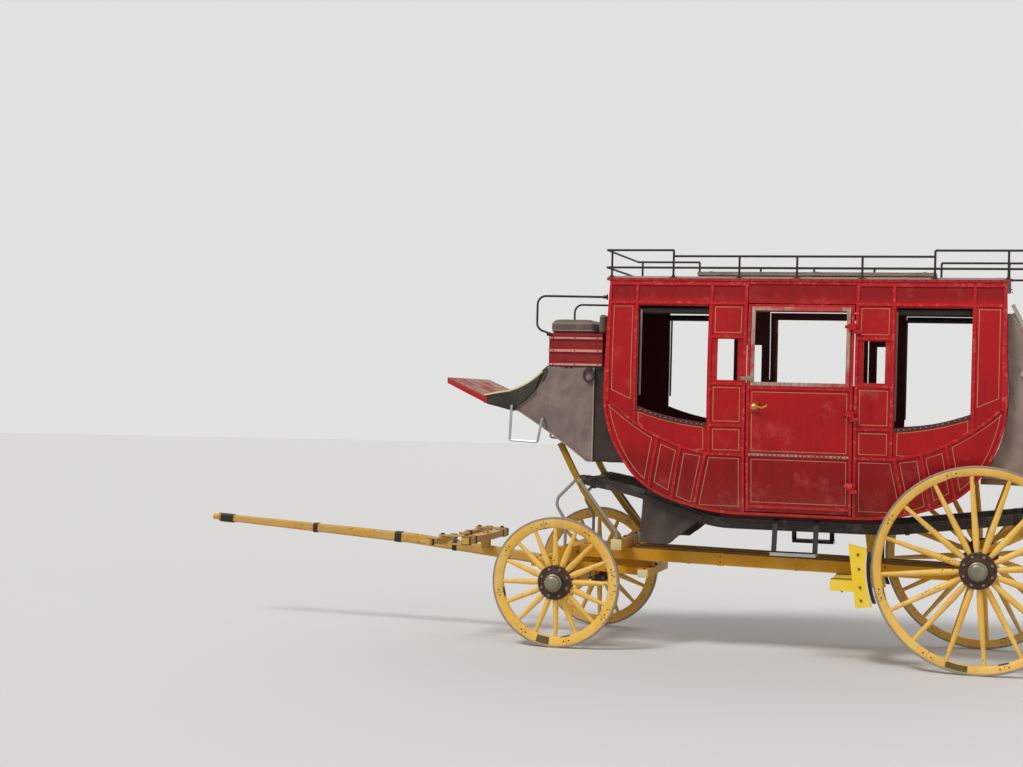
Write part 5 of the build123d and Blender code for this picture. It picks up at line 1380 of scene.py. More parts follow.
@dataclass
class DriverPlace:
    """The driver's place: cushions, rail sockets, seat box, dash and footboard."""

    rail_half: float = 0.632
    box_half: float = 0.612
    strip: float = 0.0014
    dash_faces: tuple[float, float] = (0.5985, 0.6255)
    seam_faces: tuple[float, float] = (0.6003, 0.6085)
    board_half: float = 0.628
    bolt_half: float = 0.56

    def build(self) -> None:
        """Builds the two cushions and the fittings round them."""
        # Columns: node, swell, heights of the piping from the top, and from the base
        for node, swell, drops, rises in (("driver_cushion", 0.014, (0.030,), (0.024,)),
                                          ("driver_backrest", 0.008, (0.030,), ())):
            low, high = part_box(node)
            pad = Cushion(f"{node}_pad", SEAT_CLOTH, [node], low, high, voxel=0.0075, swell=swell)
            piece = pad.build()
            for height in [high.z - drop for drop in drops] + [low.z + rise for rise in rises]:
                pad.piping(piece, height)
        self._sockets()
        self._box()
        self._dash()
        self._footboard()

    def _sockets(self) -> None:
        """Flanged sockets that hold the hand rails on the cabin's front."""
        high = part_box("seat_rails")[1]
        shapes = []
        for side in Side:
            place = Vector((high.x + 0.006, side.value * self.rail_half, high.z - 0.014))
            socket = turned_shape([(0.0, 0.0), (0.024, 0.0), (0.024, 0.005), (0.014, 0.008), (0.014, 0.034),
                                   (0.0, 0.034)], 24)
            socket.transform(facing(place, (-1, 0, 0)))
            shapes.append(socket)
        gather("rail_sockets", IRON, shapes)

    def _box(self) -> None:
        """Worn strips on the seat box's battens, and bolts between them."""
        strips, heads = [], []
        for side in Side:
            inner, outer = (side.value * y for y in (self.box_half, self.box_half + self.strip))
            for z, tall in ((2.2847, 0.020), (2.3974, 0.024), (2.5003, 0.020)):
                outline = rectangle(x_at(-0.148), z - tall * 0.42, x_at(0.298), z + tall * 0.42)
                strips.append(slab_shape(outline, inner, outer))
                heads += [facing(at(s, outer, z), side.out) for s in (-0.11, 0.07, 0.26)]
        gather("seat_box_strips", WORN_PINK, strips)
        stud_piece("seat_box_screws", IRON, heads, 0.006, 0.0025)

    def _dash(self) -> None:
        """The cream edge that runs along the curved top of the dash sides, and their rivets."""
        line = (arc_through((-0.6907, 2.0227), (-0.590, 2.0447), (-0.480, 2.0627))
                + arc_through((-0.480, 2.0627), (-0.330, 2.1267), (-0.200, 2.2277))[1:])
        inner, outer = self.dash_faces
        edges = [strap_shape([at(s, y, z) for s, z in line], (0, outer - inner, 0), 0.0135, offset=-0.0014,
                             bevel=0.001) for y in (-outer, inner)]
        gather("dash_edges", CREAM, edges)
        seam = [(s + 0.002, z) for s, z in FrontBoot.front_line]
        seam += [(-0.445, 1.8935), (-0.278, 2.054), (-0.216, 2.220)]
        outline = [(x_at(s), z) for s, z in seam]
        seams = [slab_shape(outline, *(side.value * y for y in self.seam_faces)) for side in Side]
        gather("dash_seams", DASH, seams)
        rivets = [facing(at(s, side.value * 0.6242, z - 0.034), side.out)
                  for side in Side for s, z in line[::3]]
        stud_piece("dash_rivets", IRON, rivets, 0.0055, 0.003)

    def _footboard(self) -> None:
        """Red facings on the footboard's side battens, and bolt heads through its planks."""
        start, run, rise = (-0.660, 2.0027), -0.362, 0.156

        def point(share: float, drop: float) -> Point:
            """A point a share of the way up the board, dropped below its top."""
            return x_at(start[0] + share * run), start[1] + share * rise - drop

        outline = [point(0.01, 0.004), point(0.96, 0.004), point(0.96, 0.043), point(0.01, 0.056)]
        faces = (self.board_half, self.board_half + self.strip)
        facings = [slab_shape(outline, *(side.value * y for y in faces), 0.0003) for side in Side]
        gather("footboard_facings", TRIM_RED, facings)
        heads = []
        for share in (0.11, 0.36, 0.61, 0.86):
            x, z = point(share, 0.0)
            heads += [facing((x, y, z), (0.395, 0, 0.918)) for y in (-self.bolt_half, self.bolt_half)]
        stud_piece("footboard_bolts", IRON, heads, 0.008, 0.004)


@dataclass
class Cabin:
    """The cabin's inside: cushions on the three benches."""

    depth: float = 0.370
    tufts: tuple[int, int] = (2, 6)

    def build(self) -> None:
        """Builds one cushion for each bench."""
        low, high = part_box("cabin_cushions")
        half = self.depth / 2
        for number, middle in enumerate((low.x + half, (low.x + high.x) / 2, high.x - half)):
            corner = Vector((middle - half, low.y, low.z))
            other = Vector((middle + half, high.y, high.z))
            nodes = ["cabin_cushions"] if number == 0 else []
            Cushion(f"bench_cushion_{number + 1}", BENCH_LEATHER, nodes, corner, other, voxel=0.009,
                    swell=0.008, tufts=self.tufts).build()


@dataclass
class Cover:
    """A cover of canvas or leather cut from the faces of a CAD solid, creased and given a thickness."""

    node: str
    grid: float = 0.032
    thickness: float = 0.003

    def cut(self, keep: Callable[[Vector, Vector], bool], splits: Sequence[float] = ()) -> Shape:
        """The wanted faces of the solid, cut into small ones.

        Args:
            keep: says from a face's normal and middle whether it stays.
            splits: places along x at which the faces are cut as well.

        Returns:
            An open sheet whose normals point outwards.
        """
        bm = bmesh.new()
        bm.from_mesh(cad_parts[self.node].data)
        bmesh.ops.remove_doubles(bm, verts=bm.verts, dist=2e-5)
        bmesh.ops.dissolve_limit(bm, angle_limit=math.radians(0.5), verts=bm.verts, edges=bm.edges)
        planes = [(Vector((1, 0, 0)), split) for split in splits]
        for axis in Matrix.Identity(3):
            low, high = (end(v.co.dot(axis) for v in bm.verts) for end in (min, max))
            count = int((high - low) / self.grid)
            planes += [(axis, low + (number + 1) * self.grid) for number in range(count)]
        for axis, place in planes:
            cut_plane(bm, axis, place, dist=1e-4)
        bmesh.ops.delete(bm, geom=[f for f in bm.faces if not keep(f.normal, f.calc_center_median())],
                         context="FACES")
        return bm

    def crease(self, bm: Shape, depth: float, stretch: Sequence[float],
               slack: Callable[[Vector], float]) -> None:
        """Moves each point along its normal by soft folds.

        Args:
            bm: the sheet.
            depth: how far the folds reach.
            stretch: how close they are along each axis.
            slack: from 0, nailed down, to 1, loose, at a place.
        """
        bm.normal_update()
        moves = []
        for vert in bm.verts:
            place = Vector([a * b for a, b in zip(vert.co, stretch)])
            fold = 0.6 * noise.noise(place) + 0.6 * (0.30 - abs(noise.noise(place * 1.9)) * 1.6)
            fold += 0.22 * (0.30 - abs(noise.noise(place * 4.6)) * 1.6)
            moves.append(vert.normal * (depth * slack(vert.co) * fold))
        for vert, move in zip(bm.verts, moves):
            vert.co += move

    def finish(self, bm: Shape, name: str, finish: Finish, flat: tuple[float, float], held: str,
               rests_on: Sequence[str], replaces: Sequence[str] = ()) -> bpy.types.Object:
        """Turns the sheet into a piece of cloth with a thickness."""
        area = sum(face.calc_area() for face in bm.faces)
        piece = finish_piece(bm, name, "coach", finish, replaces=replaces, angle=60, merge=False)
        solid = piece.modifiers.new("thickness", "SOLIDIFY")
        solid.thickness = self.thickness
        smooth = piece.modifiers.new("smooth", "SUBSURF")
        smooth.levels = smooth.render_levels = 1
        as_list(rests_on)
        return piece


@dataclass
class FrontBoot:
    """The boot under the driver: canvas round its sides and belly, leather behind it, and the foot well."""

    half: float = 0.600
    top: float = 2.2697
    bottom: float = 1.500
    canvas_end: float = 0.233
    nail_pitch: float = 0.042
    front_line: tuple[Point, ...] = tuple(arc_through((-0.160, 2.2697), (-0.250, 2.0747), (-0.430, 1.9147)))
    belly_line: tuple[Point, ...] = tuple(arc_through((-0.430, 1.9147), (-0.110, 1.7150), (0.190, 1.5000))
                                                + [(0.230, 1.5000)])
    # Pulled folds: station, height, run, fall, length, depth
    folds: tuple[tuple[float, ...], ...] = (
        (-0.150, 2.252, 1.0, -0.25, 0.20, 0.012), (-0.262, 2.080, 1.0, 0.22, 0.17, 0.010),
        (-0.262, 2.080, 1.0, -0.55, 0.24, 0.014), (-0.415, 1.925, 1.0, 0.05, 0.20, 0.008),
        (0.225, 2.245, -0.5, -1.0, 0.30, 0.010), (0.228, 1.520, -1.0, 0.55, 0.34, 0.010))

    def build(self) -> None:
        """Builds the covers, the hems, the nails and the lashing rings."""
        self._covers()
        self._hems()
        self._nails()
        self._lashing_rings()

    def _covers(self) -> None:
        """The canvas, the leather behind it and the boards of the foot well."""
        edge = x_at(self.canvas_end)
        cover = Cover("front_boot", grid=0.021)
        hem_points = [Vector((x_at(s), z)) for s, z in self.front_line + self.belly_line]

        def wrapped(normal: Vector) -> bool:
            """Says whether a face belongs to the sides or the belly."""
            return abs(normal.y) > 0.9 or (normal.z < -0.05 and normal.x < 0.5)

        def slack(place: Vector) -> float:
            """The canvas is nailed along the top and hemmed all round."""
            hemmed = min((Vector((place.x, place.z)) - point).length for point in hem_points)
            return (min(1.0, (self.top - place.z) / 0.12) * min(1.0, abs(edge - place.x) / 0.05)
                    * min(1.0, 0.1 + hemmed / 0.16))

        bm = cover.cut(lambda n, m: wrapped(n) and m.x < edge, [edge])
        cover.crease(bm, 0.038, (4.2, 3.0, 3.0), slack)
        self._pull(bm)
        cover.finish(bm, "front_boot_canvas", CANVAS, (2.6, 1.25), "stretched", ["seat_box", "dash_sides"],
                     ["front_boot"])
        # The leather behind the canvas is set back and finished near black, partly as painted shade in its
        # recess.
        bm = cover.cut(lambda n, m: wrapped(n) and m.x > edge, [edge])
        cover.crease(bm, 0.010, (5.0, 3.0, 2.0), slack)
        bmesh.ops.scale(bm, verts=bm.verts, vec=(1, 0.976, 1))
        cover.finish(bm, "front_shaded_boot_leather", SHADED_BOOT_LEATHER, (2.5, 0.36), "stretched", ["front_wall"])
        well = Cover("front_boot", grid=0.2).cut(lambda n, m: n.z > 0.05 and n.x < 0.1)
        bmesh.ops.solidify(well, geom=well.faces[:], thickness=0.018)
        finish_piece(well, "foot_well_boards", "coach", DASH, angle=20)

    def _hems(self) -> None:
        """Welts along the canvas's edges on both sides, and the hem where the leather starts."""
        out = Vector((0, self.half + 0.002, 0))
        hems = [rod_shape([at(s, 0, z) + side.value * out for s, z in line], 0.005, 0.02, 8)
                for side in Side for line in (self.front_line, self.belly_line)]
        gather("front_boot_welts", PALE_CANVAS, hems)
        # The pale hem down the canvas's rear edge is partly a painted highlight along that edge.
        hung = self.top - 0.006
        corners = [at(self.canvas_end, y, z) for y, z in (
            (-self.half, hung), (-self.half, self.bottom), (self.half, self.bottom), (self.half, hung))]
        finish_piece(rod_shape(corners, 0.0055, 0.03, 8), "front_boot_hem", "coach", PALE_CANVAS)

    def _nails(self) -> None:
        """The nails along the top of the canvas on both sides."""
        count = int((self.canvas_end + 0.14) / self.nail_pitch) + 1
        out, z = self.half + 0.0012, self.top - 0.014
        places = [facing(at(-0.145 + n * self.nail_pitch, side.value * out, z), side.out)
                  for side in Side for n in range(count)]
        stud_piece("front_boot_nails", STEEL, places, 0.006, 0.003)

    def _lashing_rings(self) -> None:
        """A leather ring under its tab on each side."""
        section = [(0.044 + 0.0085 * math.cos(a), 0.0085 * math.sin(a))
                   for a in (n * math.pi / 4 for n in range(8))]
        rings = []
        for side in Side:
            ring = ring_shape(section, 32)
            y = side.value * (self.half + 0.020)
            ring.transform(Matrix.Translation(at(0.196, y, 2.200)) @ turned(90, "X")
                           @ Matrix.Diagonal((1.0, 1.15, 1, 1)))
            rings.append(ring)
            tab = rectangle(x_at(0.186), 2.236, x_at(0.214), 2.262)
            rings.append(slab_shape(tab, y - 0.012, y + 0.010, 0.002))
        gather("lashing_rings", DARK_LEATHER, rings)

    def _pull(self, bm: Shape) -> None:
        """Raises the folds that run into the sheet from where it is nailed."""
        for vert in bm.verts:
            if abs(vert.normal.y) < 0.8:
                continue
            for station, z, run, fall, length, height in self.folds:
                along = Vector((run, fall)).normalized()
                reach = Vector((vert.co.x - x_at(station), vert.co.z - z))
                share = reach.dot(along) / length
                if 0.0 < share < 1.0:
                    aside = abs(reach.x * along.y - reach.y * along.x) / (0.014 + 0.016 * share)
                    swell = height * (1 - share) * min(1.0, share * 8)
                    vert.co += vert.normal * (swell * math.exp(-aside * aside))


@dataclass
class RearBoot:
    """The canvas hood behind the cabin, its straps with buckles, and the stay straps from the roof."""

    half: float = 0.590
    front: float = 3.465
    top: float = 2.740
    bottom: float = 1.470
    strap_width: float = 0.052
    strap_y: float = 0.300

    def outline(self) -> list[Point]:
        """The hood's line from the cabin down to the platform, as (station, height)."""
        back = arc_through((self.front, self.top), (3.800, 2.270), (4.080, 1.760), 16)
        return [*back, (4.100, self.bottom)]

    def build(self) -> None:
        """Builds the hood, its straps, buckles and tabs."""
        cover = Cover("rear_boot", grid=0.036)

        def slack(place: Vector) -> float:
            """The canvas is held at its edges and pressed down under the straps."""
            held = min(1.0, (self.top - place.z) / 0.15) * min(1.0, (place.z - self.bottom) / 0.08)
            return held * (0.35 + 0.65 * min(1.0, abs(abs(place.y) - self.strap_y - 0.026) / 0.12))

        bm = cover.cut(lambda n, m: abs(n.y) > 0.9 or n.x > 0.02 or n.z > 0.9)
        cover.crease(bm, 0.044, (3.6, 4.2, 1.6), slack)
        cover.finish(bm, "rear_boot_canvas", HOOD_CANVAS, (2.6, 1.85), "stretched",
                     ["rear_platform", "rear_wall"], ["rear_boot"])
        straps, buckles = [], []
        for side in Side:
            y = side.value * self.strap_y + self.strap_width / 2
            line = [at(s, y, z) for s, z in self.outline()]
            straps.append(strap_shape(line, (0, -self.strap_width, 0), 0.004, offset=0.009, bevel=0.001))
            buckles.append(self._buckle(at(4.104, y - self.strap_width / 2, 1.62), (1, 0, 0.06)))
            out = side.value * (self.half + 0.012)
            start, end = at(self.front + 0.008, out, 2.800), at(3.860, out, 2.040)
            along = (end - start).normalized()
            wide = along.cross(Vector((0, 1, 0))) * 0.030
            bowed = start.lerp(end, 0.5) + Vector((0, side.value * 0.004, 0))
            straps.append(strap_shape([start, bowed, end], wide, 0.004 * side.value, bevel=0.001))
            buckles.append(self._buckle(start.lerp(end, 0.8) + wide / 2, side.out))
            tab = box_shape((0.034, 0.014, 0.050), 0.005, 3)
            tab.transform(Matrix.Translation(at(3.575, out, 2.285)) @ Matrix.Rotation(0.5, 4, "Y"))
            straps.append(tab)
        gather("rear_boot_straps", PALE_STRAP, straps)
        gather("rear_boot_buckles", STEEL, buckles)
        hems = [rod_shape([at(s, side.value * self.half, z) for s, z in self.outline()], 0.006, 0.02, 8)
                for side in Side]
        gather("rear_boot_hems", PALE_CANVAS, hems)

    def _buckle(self, place: Vector, out: Sequence[float]) -> Shape:
        """A squared roller buckle that lies on a strap."""
        a, b = self.strap_width / 2 + 0.004, 0.022
        frame_line = [(*corner, 0) for corner in rectangle(-a, -b, a, b)]
        bm = strap_shape(frame_line, (0, 0, 0.006), 0.006, closed=True, bevel=0.0015)
        join_into(bm, rod_shape([(-0.002, -b, 0.006), (0, 0, 0.009), (0.002, b, 0.007)], 0.003, 0.01, 8))
        bm.transform(facing(place, out))
        return bm


@dataclass
class MudFlaps:
    """The canvas flaps that hang outside the thoroughbraces."""

    top: float = 1.230
    bottom: float = 0.850

    def build(self) -> None:
        """Builds one hanging sheet a side."""
        for side in Side:
            cover = Cover("mud_flaps", grid=0.024)
            bm = cover.cut(lambda n, m: abs(n.y) > 0.9 and m.y * side.value > 0.456)
            for vert in bm.verts:
                fall = min(1.0, max(0.0, (self.top - vert.co.z) / (self.top - self.bottom)))
                wave = 0.5 + 0.5 * math.sin(vert.co.x * 31.0 + 1.5 * math.sin(vert.co.z * 9.0))
                flutter = 0.034 * fall * wave + 0.016 * fall * noise.noise(vert.co * 9.0)
                vert.co.y += side.value * (0.004 + flutter)
                vert.co.z += 0.008 * fall * noise.noise(vert.co * 14.0)
            replaced = ["mud_flaps"] if side is Side.LEFT else []
            cover.finish(bm, f"mud_flap_{side.word}", FLAP_CANVAS, (0.53, 0.40), "hung", ["brace_straps"],
                         replaced)


@dataclass
class Braces:
    """The thoroughbraces: layers of leather from hook to hook, bound with iron."""

    middle_y: float = 0.415
    width: float = 0.074
    layers: int = 7
    pitch: float = 0.012
    eye: float = 0.042
    hole: float = 0.0185
    path: tuple[Point, ...] = ((0.118, 1.340), (0.620, 1.256), (1.200, 1.040), (2.600, 1.040),
                               (3.700, 1.180))

    def build(self) -> None:
        """Builds the layers, their eyes and the bands."""
        straps, bands = [], []
        for side in Side:
            for layer in range(self.layers):
                shift = 0.0016 * ((layer * 5) % 3 - 1)
                y = side.value * self.middle_y - self.width / 2 + shift
                trim = 0.006 * ((layer * 3) % 4)
                points = [at(s, y, z) for s, z in self.path]
                points[0].x += 0.03 + trim
                points[-1].x -= 0.03 + trim
                straps.append(strap_shape(points, (0, self.width, 0), self.pitch * 0.88, bend=0.16,
                                          bevel=0.0018, offset=(layer - self.layers / 2) * self.pitch))
            for station, z in (self.path[0], self.path[-1]):
                turns = ring_shape(rectangle(self.hole, -self.width / 2, self.eye, self.width / 2), 40)
                turns.transform(Matrix.Translation(at(station, side.value * self.middle_y, z))
                                @ turned(90, "X"))
                straps.append(turns)
            for leg, share in ((0, 0.2), (1, 0.15), (1, 0.85), (3, 0.12), (3, 0.86)):
                bands.append(self._band(side, leg, share))
        whole = gather("brace_straps", STRAP, straps)
        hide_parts("thoroughbraces")
        gather("brace_bands", IRON, bands)

    def _band(self, side: Side, leg: int, share: float) -> Shape:
        """An iron band round the layers, a share of the way along one leg of the path."""
        (sa, za), (sb, zb) = self.path[leg], self.path[leg + 1]
        half_y, half_z = self.width / 2 + 0.002, self.layers * self.pitch / 2 + 0.001
        bm = hoop_shape((0, -half_y, -half_z), (0, half_y, half_z), 0, 0.0, 0.032)
        place = at(sa + (sb - sa) * share, side.value * self.middle_y, za + (zb - za) * share)
        bm.transform(Matrix.Translation(place) @ Matrix.Rotation(-math.atan2(zb - za, sb - sa), 4, "Y"))
        return bm


@dataclass
class Ironwork:
    """Bands, bolts, caps and straps on the running gear, the pole and the roof."""

    rail_half: float = 0.596
    rail_posts: tuple[float, ...] = (0.360, 0.865, 1.395, 1.850, 2.355, 2.905, 3.450)
    perch_half: float = 0.039
    perch_height: float = 0.096
    # The perches' underside: where it starts, as station and height, its length and its fall
    perch_start: Point = (0.055, 0.698)
    perch_run: float = 3.177
    perch_fall: float = 0.046
    # Station and width of each band
    perch_bands: tuple[Point, ...] = ((0.30, 0.05), (0.985, 0.018), (1.245, 0.05), (1.86, 0.018),
                                      (2.56, 0.05), (3.12, 0.06))

    def perch_bottom(self, station: float) -> float:
        """The height of the perches' underside at a station."""
        start, height = self.perch_start
        return height - self.perch_fall * (station - start) / self.perch_run

    def build(self) -> None:
        """Builds every fitting, body by body."""
        self._bands()
        self._perches()
        self._pole()
        self._bolts()
        self._roof()
        self._rails()
        self._steps()

    def _bands(self) -> None:
        """Bands round squared bars that lie across the coach."""
        # Columns: name, body, finish, first and last station, bottom, top, chamfer, places across, width
        for name, body, finish, first, last, low, high, chamfer, places, width in [
            ("front_axle_bands", "front_gear", IRON, -0.048, 0.048, 0.473, 0.577, 0.012, (0.21, 0.43, 0.57),
             0.026),
            ("rear_axle_bands", "coach", IRON, 3.232, 3.328, 0.738, 0.842, 0.012, (0.14, 0.36, 0.57), 0.030),
            ("crossbar_bands", "coach", OCHRE, 0.398, 0.482, 0.789, 0.873, 0.010, (0.10, 0.455), 0.030),
            ("brake_beam_bands", "coach", IRON, 2.185, 2.365, 0.585, 0.665, 0.0, (0.30, 0.69), 0.030),
            ("evener_bands", "evener_bar", IRON, -0.867, -0.793, 0.775, 0.831, 0.0, (0.40,), 0.030),
            ("evener_end_bands", "evener_bar", IRON, -0.861, -0.799, 0.775, 0.831, 0.0, (0.564,), 0.028),
        ]:
            bands = [hoop_shape(at(first, 0, low), at(last, 0, high), 1, way * place, width, chamfer)
                     for place in places for way in (-1, 1)]
            gather(name, finish, bands, body)
        low, high = at(-1.0742, 0, 0.781), at(-1.0324, 0, 0.825)
        for body, way in (("near_singletree", -1), ("off_singletree", 1)):
            ends = [hoop_shape(low, high, 1, way * 0.52 + end * 0.30, 0.034) for end in (-1, 1)]
            gather(f"{body}_bands", IRON, ends, body)
        # Pale end caps. Columns: name, body, first and last station, half width, bottom, top
        for name, body, first, last, half, low, high in [
            ("crossbar_caps", "coach", 0.396, 0.484, 0.540, 0.787, 0.875),
            ("sway_bar_caps", "front_gear", 0.598, 0.682, 0.420, 0.565, 0.629),
        ]:
            caps = []
            for way in (-1, 1):
                cap = box_shape((last - first, 0.014, high - low), 0.004)
                place = at((first + last) / 2, way * (half + 0.0065), (low + high) / 2)
                cap.transform(Matrix.Translation(place))
                caps.append(cap)
            gather(name, CREAM, caps, body)

    def _perches(self) -> None:
        """Bands, bolts and the worn strip on top of the perches."""
        bands, strips, places = [], [], []
        half, tall = self.perch_half, self.perch_height
        for y in (-0.215, 0.0, 0.215):
            for station, width in self.perch_bands:
                bottom = self.perch_bottom(station)
                low, high = at(0, y - half, bottom - 0.001), at(0, y + half, bottom + tall + 0.001)
                bands.append(hoop_shape(low, high, 0, x_at(station), width, thickness=0.0035))
                if width > 0.03:
                    places += [facing(at(station, y + side.value * (half + 0.0036), bottom + tall * share),
                                      side.out) for side in Side for share in (0.25, 0.75)]
            ends = [at(s, y - half + 0.002, self.perch_bottom(s) + tall) for s in (0.53, 3.20)]
            strips.append(strap_shape(ends, (0, 2 * half - 0.004, 0), -0.007, bevel=0.0015))
        gather("perch_bands", OCHRE, bands)
        stud_piece("perch_bolts", HUB_IRON, places, 0.008, 0.005, 6)
        gather("perch_wear_strips", BROWN_WOOD, strips)

    def _pole(self) -> None:
        """Bands and the ferrule on the tapering pole."""
        bands = []
        # Columns: station, height, half width across, half depth, slope, band's width
        for station, z, across, deep, slope, width in [
            (-0.62, 0.6626, 0.047, 0.0425, 0.104, 0.045), (-1.10, 0.7133, 0.0455, 0.0425, 0.104, 0.04),
            (-1.62, 0.7617, 0.0437, 0.0415, 0.0557, 0.06), (-2.40, 0.8052, 0.0387, 0.0372, 0.0557, 0.04),
            (-3.26, 0.8531, 0.0332, 0.0326, 0.0557, 0.12),
        ]:
            band = hoop_shape((0, -across, -deep), (0, across, deep), 0, 0.0, width, across * 0.32)
            band.transform(Matrix.Translation(at(station, 0, z)) @ Matrix.Rotation(math.atan(slope), 4, "Y"))
            bands.append(band)
        gather("pole_bands", IRON, bands, "front_gear")

    def _bolts(self) -> None:
        """Bolt heads and nuts. Each row is set on both sides."""
        up, down, back = (0, 0, 1), (0, 0, -1), (1, 0, 0)
        # Columns: name, body, radius, height, then rows of station, y, z, direction
        for name, body, radius, height, rows in [
            ("gear_bolts", "front_gear", 0.013, 0.012, [
                (0.0, 0.30, 0.661, up), (-0.29, 0.30, 0.661, up), (0.64, 0.36, 0.627, up),
                (0.640, 0.12, 0.627, up), (0.0, 0.21, 0.473, down), (0.0, 0.50, 0.473, down)]),
            ("carriage_bolts", "coach", 0.013, 0.012, [
                (0.44, 0.215, 0.873, up), (0.44, 0.40, 0.873, up), (0.055, 0.30, 0.735, back),
                (0.0, 0.40, 0.790, up), (3.28, 0.215, 0.842, up), (3.28, 0.42, 0.842, up),
                (2.275, 0.215, 0.585, down), (2.275, 0.772, 0.585, down)]),
            ("evener_bolts", "evener_bar", 0.020, 0.014, [
                (-1.05, 0.52, 0.843, up), (-0.84, 0.52, 0.843, up)]),
        ]:
            places = [facing(at(station, way * y, z), out) for station, y, z, out in rows for way in (-1, 1)]
            stud_piece(name, HUB_IRON, places, radius, height, 6, body, 25)
        places = [facing(at(2.385 + (0.945 - z) * 0.09, side.value * 0.8062, z), side.out)
                  for side in Side for z in (0.87, 0.76, 0.62, 0.52)]
        stud_piece("brake_block_bolts", HUB_IRON, places, 0.011, 0.008, 6, angle=25)

    def _roof(self) -> None:
        """The red edge with its nails, and the canvas welts over the roof."""
        low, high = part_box("roof")
        edge = hoop_shape(low, high, 2, low.z + 0.0105, 0.019)
        gather("roof_edge_trim", TRIM_RED, [edge])
        out, z = 0.0044, low.z + 0.011
        places = [facing((low.x + 0.04 + n * 0.0795, side.value * (high.y + out), z), side.out)
                  for side in Side for n in range(40)]
        places += [facing((x, -0.60 + n * 0.08, z), (way, 0, 0))
                   for x, way in ((low.x - out, -1), (high.x + out, 1)) for n in range(16)]
        stud_piece("roof_edge_nails", IRON, places, 0.0055, 0.003)
        eaves = low.z + 0.020
        crown = arc_through((low.y + 0.004, eaves), (0.0, high.z), (high.y - 0.004, eaves), 24)
        welts = [strap_shape([at(station, y, z) for y, z in crown], (0.030, 0, 0), 0.0025, bevel=0.0008)
                 for station in (0.42, 1.15, 1.90, 2.65, 3.36)]
        gather("roof_welts", ROOF_CANVAS, welts)

    def _rails(self) -> None:
        """The screwed feet of the roof rails, and the irons under the plank."""
        feet = bmesh.new()
        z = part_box("roof")[0].z + 0.0275
        places = [at(station, side.value * self.rail_half, z) for station in self.rail_posts for side in Side]
        foot = turned_shape([(0.0092, 0.0), (0.032, 0.0), (0.032, 0.004), (0.016, 0.007), (0.013, 0.020),
                             (0.0092, 0.022)], 24)
        stamp(feet, foot, [Matrix.Translation(place) for place in places])
        heads = [Matrix.Translation(place + Vector((0.024 * math.cos(a), 0.024 * math.sin(a), 0.003)))
                 for place in places for a in (0.5, 2.6, 4.7)]
        gather("rail_feet", IRON, [feet, studs(heads, 0.004, 0.003)])
        irons = [strap_shape([at(station, y, 3.0723) for y in (-0.270, -0.030)], (0.028, 0, 0), 0.003)
                 for station in (1.10, 1.95, 2.80)]
        gather("plank_irons", IRON, irons)

    def _steps(self) -> None:
        """Worn bright rims on the treads under the doors."""
        rims = []
        for side in Side:
            y = side.value
            line = [at(s, y * d, 0.8265)
                    for s, d in ((1.717, 0.632), (1.717, 0.775), (2.063, 0.775), (2.063, 0.632))]
            rims.append(strap_shape(line, (0, 0, 0.0255), 0.003 * y, bevel=0.001))
        gather("step_rims", STEEL, rims)


# Stage


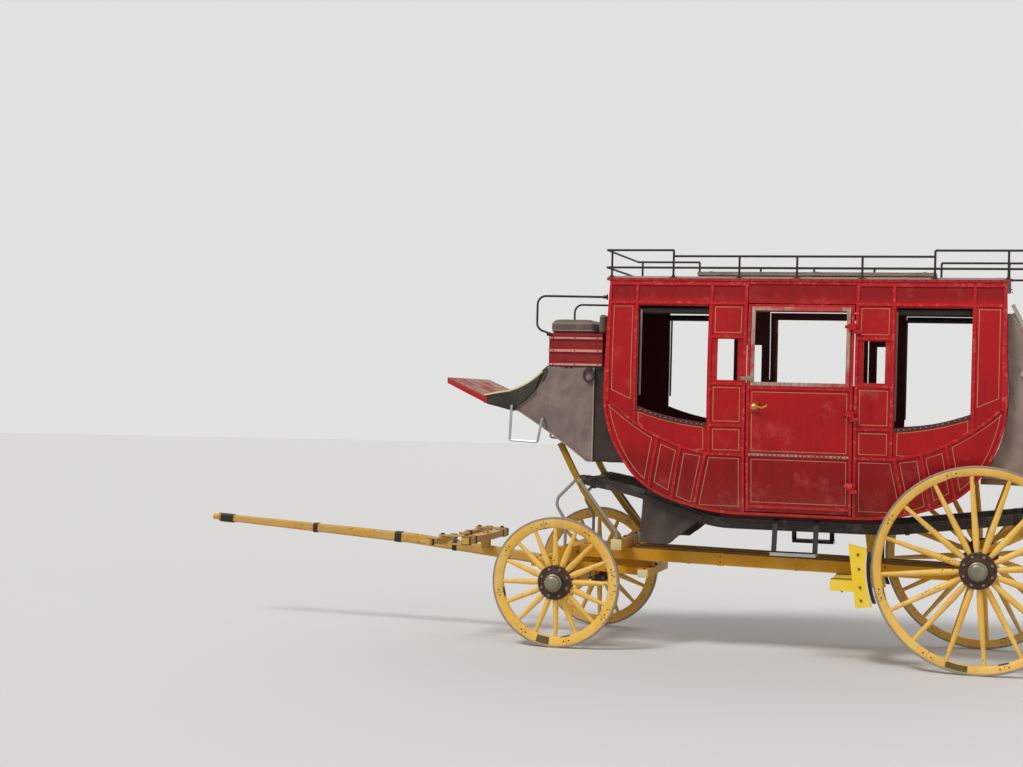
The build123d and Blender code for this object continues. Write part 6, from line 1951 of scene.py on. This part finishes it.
@dataclass
class Studio:
    """Pale floor, soft lights and the camera at the photograph's angle."""

    camera_place: tuple[float, float, float] = (3.1362, -14.2582, 2.0060)
    yaw: float = 0.28312
    pitch: float = 0.00785
    roll: float = -0.02606
    focal: float = 60.82
    floor_colour: Colour = (0.64, 0.63, 0.61)
    floor_reach: float = 60.0
    backdrop: Colour = (0.76, 0.76, 0.75)
    sky: Colour = (0.95, 0.97, 1.0)
    sky_strength: float = 0.38

    def build(self) -> None:
        """Builds floor, world, lamps and camera."""
        self._floor()
        self._world()
        # Columns: name, strength, softness in degrees, elevation, azimuth from the camera's side
        for name, strength, softness, elevation, azimuth in [
            ("key", 2.0, 16, 52, -34), ("fill", 0.45, 60, 28, 50), ("back", 0.6, 50, 40, 165),
        ]:
            lamp = bpy.data.lights.new(name, "SUN")
            lamp.energy = strength
            lamp.angle = math.radians(softness)
            piece = show(name, lamp)
            piece.rotation_euler = Euler((math.radians(90 - elevation), 0, math.radians(azimuth)))
        camera = bpy.data.cameras.new("camera")
        camera.lens, camera.sensor_width, camera.clip_end = self.focal, 36.0, 200.0
        piece = show("camera", camera)
        turn = (Matrix.Rotation(self.yaw, 4, "Z") @ Matrix.Rotation(self.pitch, 4, "X")
                @ Matrix.Rotation(self.roll, 4, "Y") @ turned(90, "X"))
        piece.matrix_world = Matrix.Translation(self.camera_place) @ turn
        bpy.context.scene.camera = piece
        bpy.context.scene.view_settings.view_transform = "Standard"

    def _floor(self) -> None:
        """A wide pale floor."""
        bm = bmesh.new()
        bmesh.ops.create_circle(bm, cap_ends=True, segments=64, radius=self.floor_reach)
        bmesh.ops.translate(bm, verts=bm.verts, vec=(0, 0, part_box("tyre_front_left")[0].z))
        mesh = bpy.data.meshes.new("floor")
        bm.to_mesh(mesh)
        bm.free()
        grey = Recipe(bpy.data.materials.new("floor_grey"))
        mesh.materials.append(grey.surface(Base_Color=self.floor_colour, Roughness=0.9))
        show("studio_floor", mesh)

    def _world(self) -> None:
        """An even pale world, brighter to the camera than as a light."""
        world = bpy.data.worlds.new("studio")
        bpy.context.scene.world = world
        r = Recipe(world)
        rays = r.node("ShaderNodeLightPath").outputs
        seen = r.math("MAXIMUM", Wire(r, rays["Is Camera Ray"]), Wire(r, rays["Is Glossy Ray"]))
        soft = r.wire("ShaderNodeBackground", {"Color": self.sky, "Strength": self.sky_strength})
        shown = r.wire("ShaderNodeBackground", {"Color": self.backdrop, "Strength": 1.0})
        mixed = r.wire("ShaderNodeMixShader", {0: seen, 1: soft, 2: shown})
        r.node("ShaderNodeOutputWorld", values={"Surface": mixed})


def dress_nodes() -> None:
    """Gives every carried-over node its finish."""
    for name, finish in NODE_FINISHES.items():
        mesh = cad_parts[name].data
        mesh.materials.clear()
        mesh.materials.append(finish.material())
        LOG.info("%s: %s", name, finish.name)


def main() -> None:
    """Builds the whole scene in order."""
    logging.basicConfig(level=logging.INFO, format="%(message)s")
    Studio().build()
    dress_nodes()
    # Columns: end, depth of the felloe, turn of the first spoke in degrees
    for end, felloe, phase in (("front", 0.072, 1.5), ("rear", 0.058, 5.0)):
        for side in Side:
            Wheel(end, side, felloe, phase).build()
    for side in Side:
        CabinSide(side).build()
    for assembly in (Cabin, DriverPlace, FrontBoot, RearBoot, MudFlaps, Braces, Ironwork):
        assembly().build()


if __name__ == "__main__":
    main()
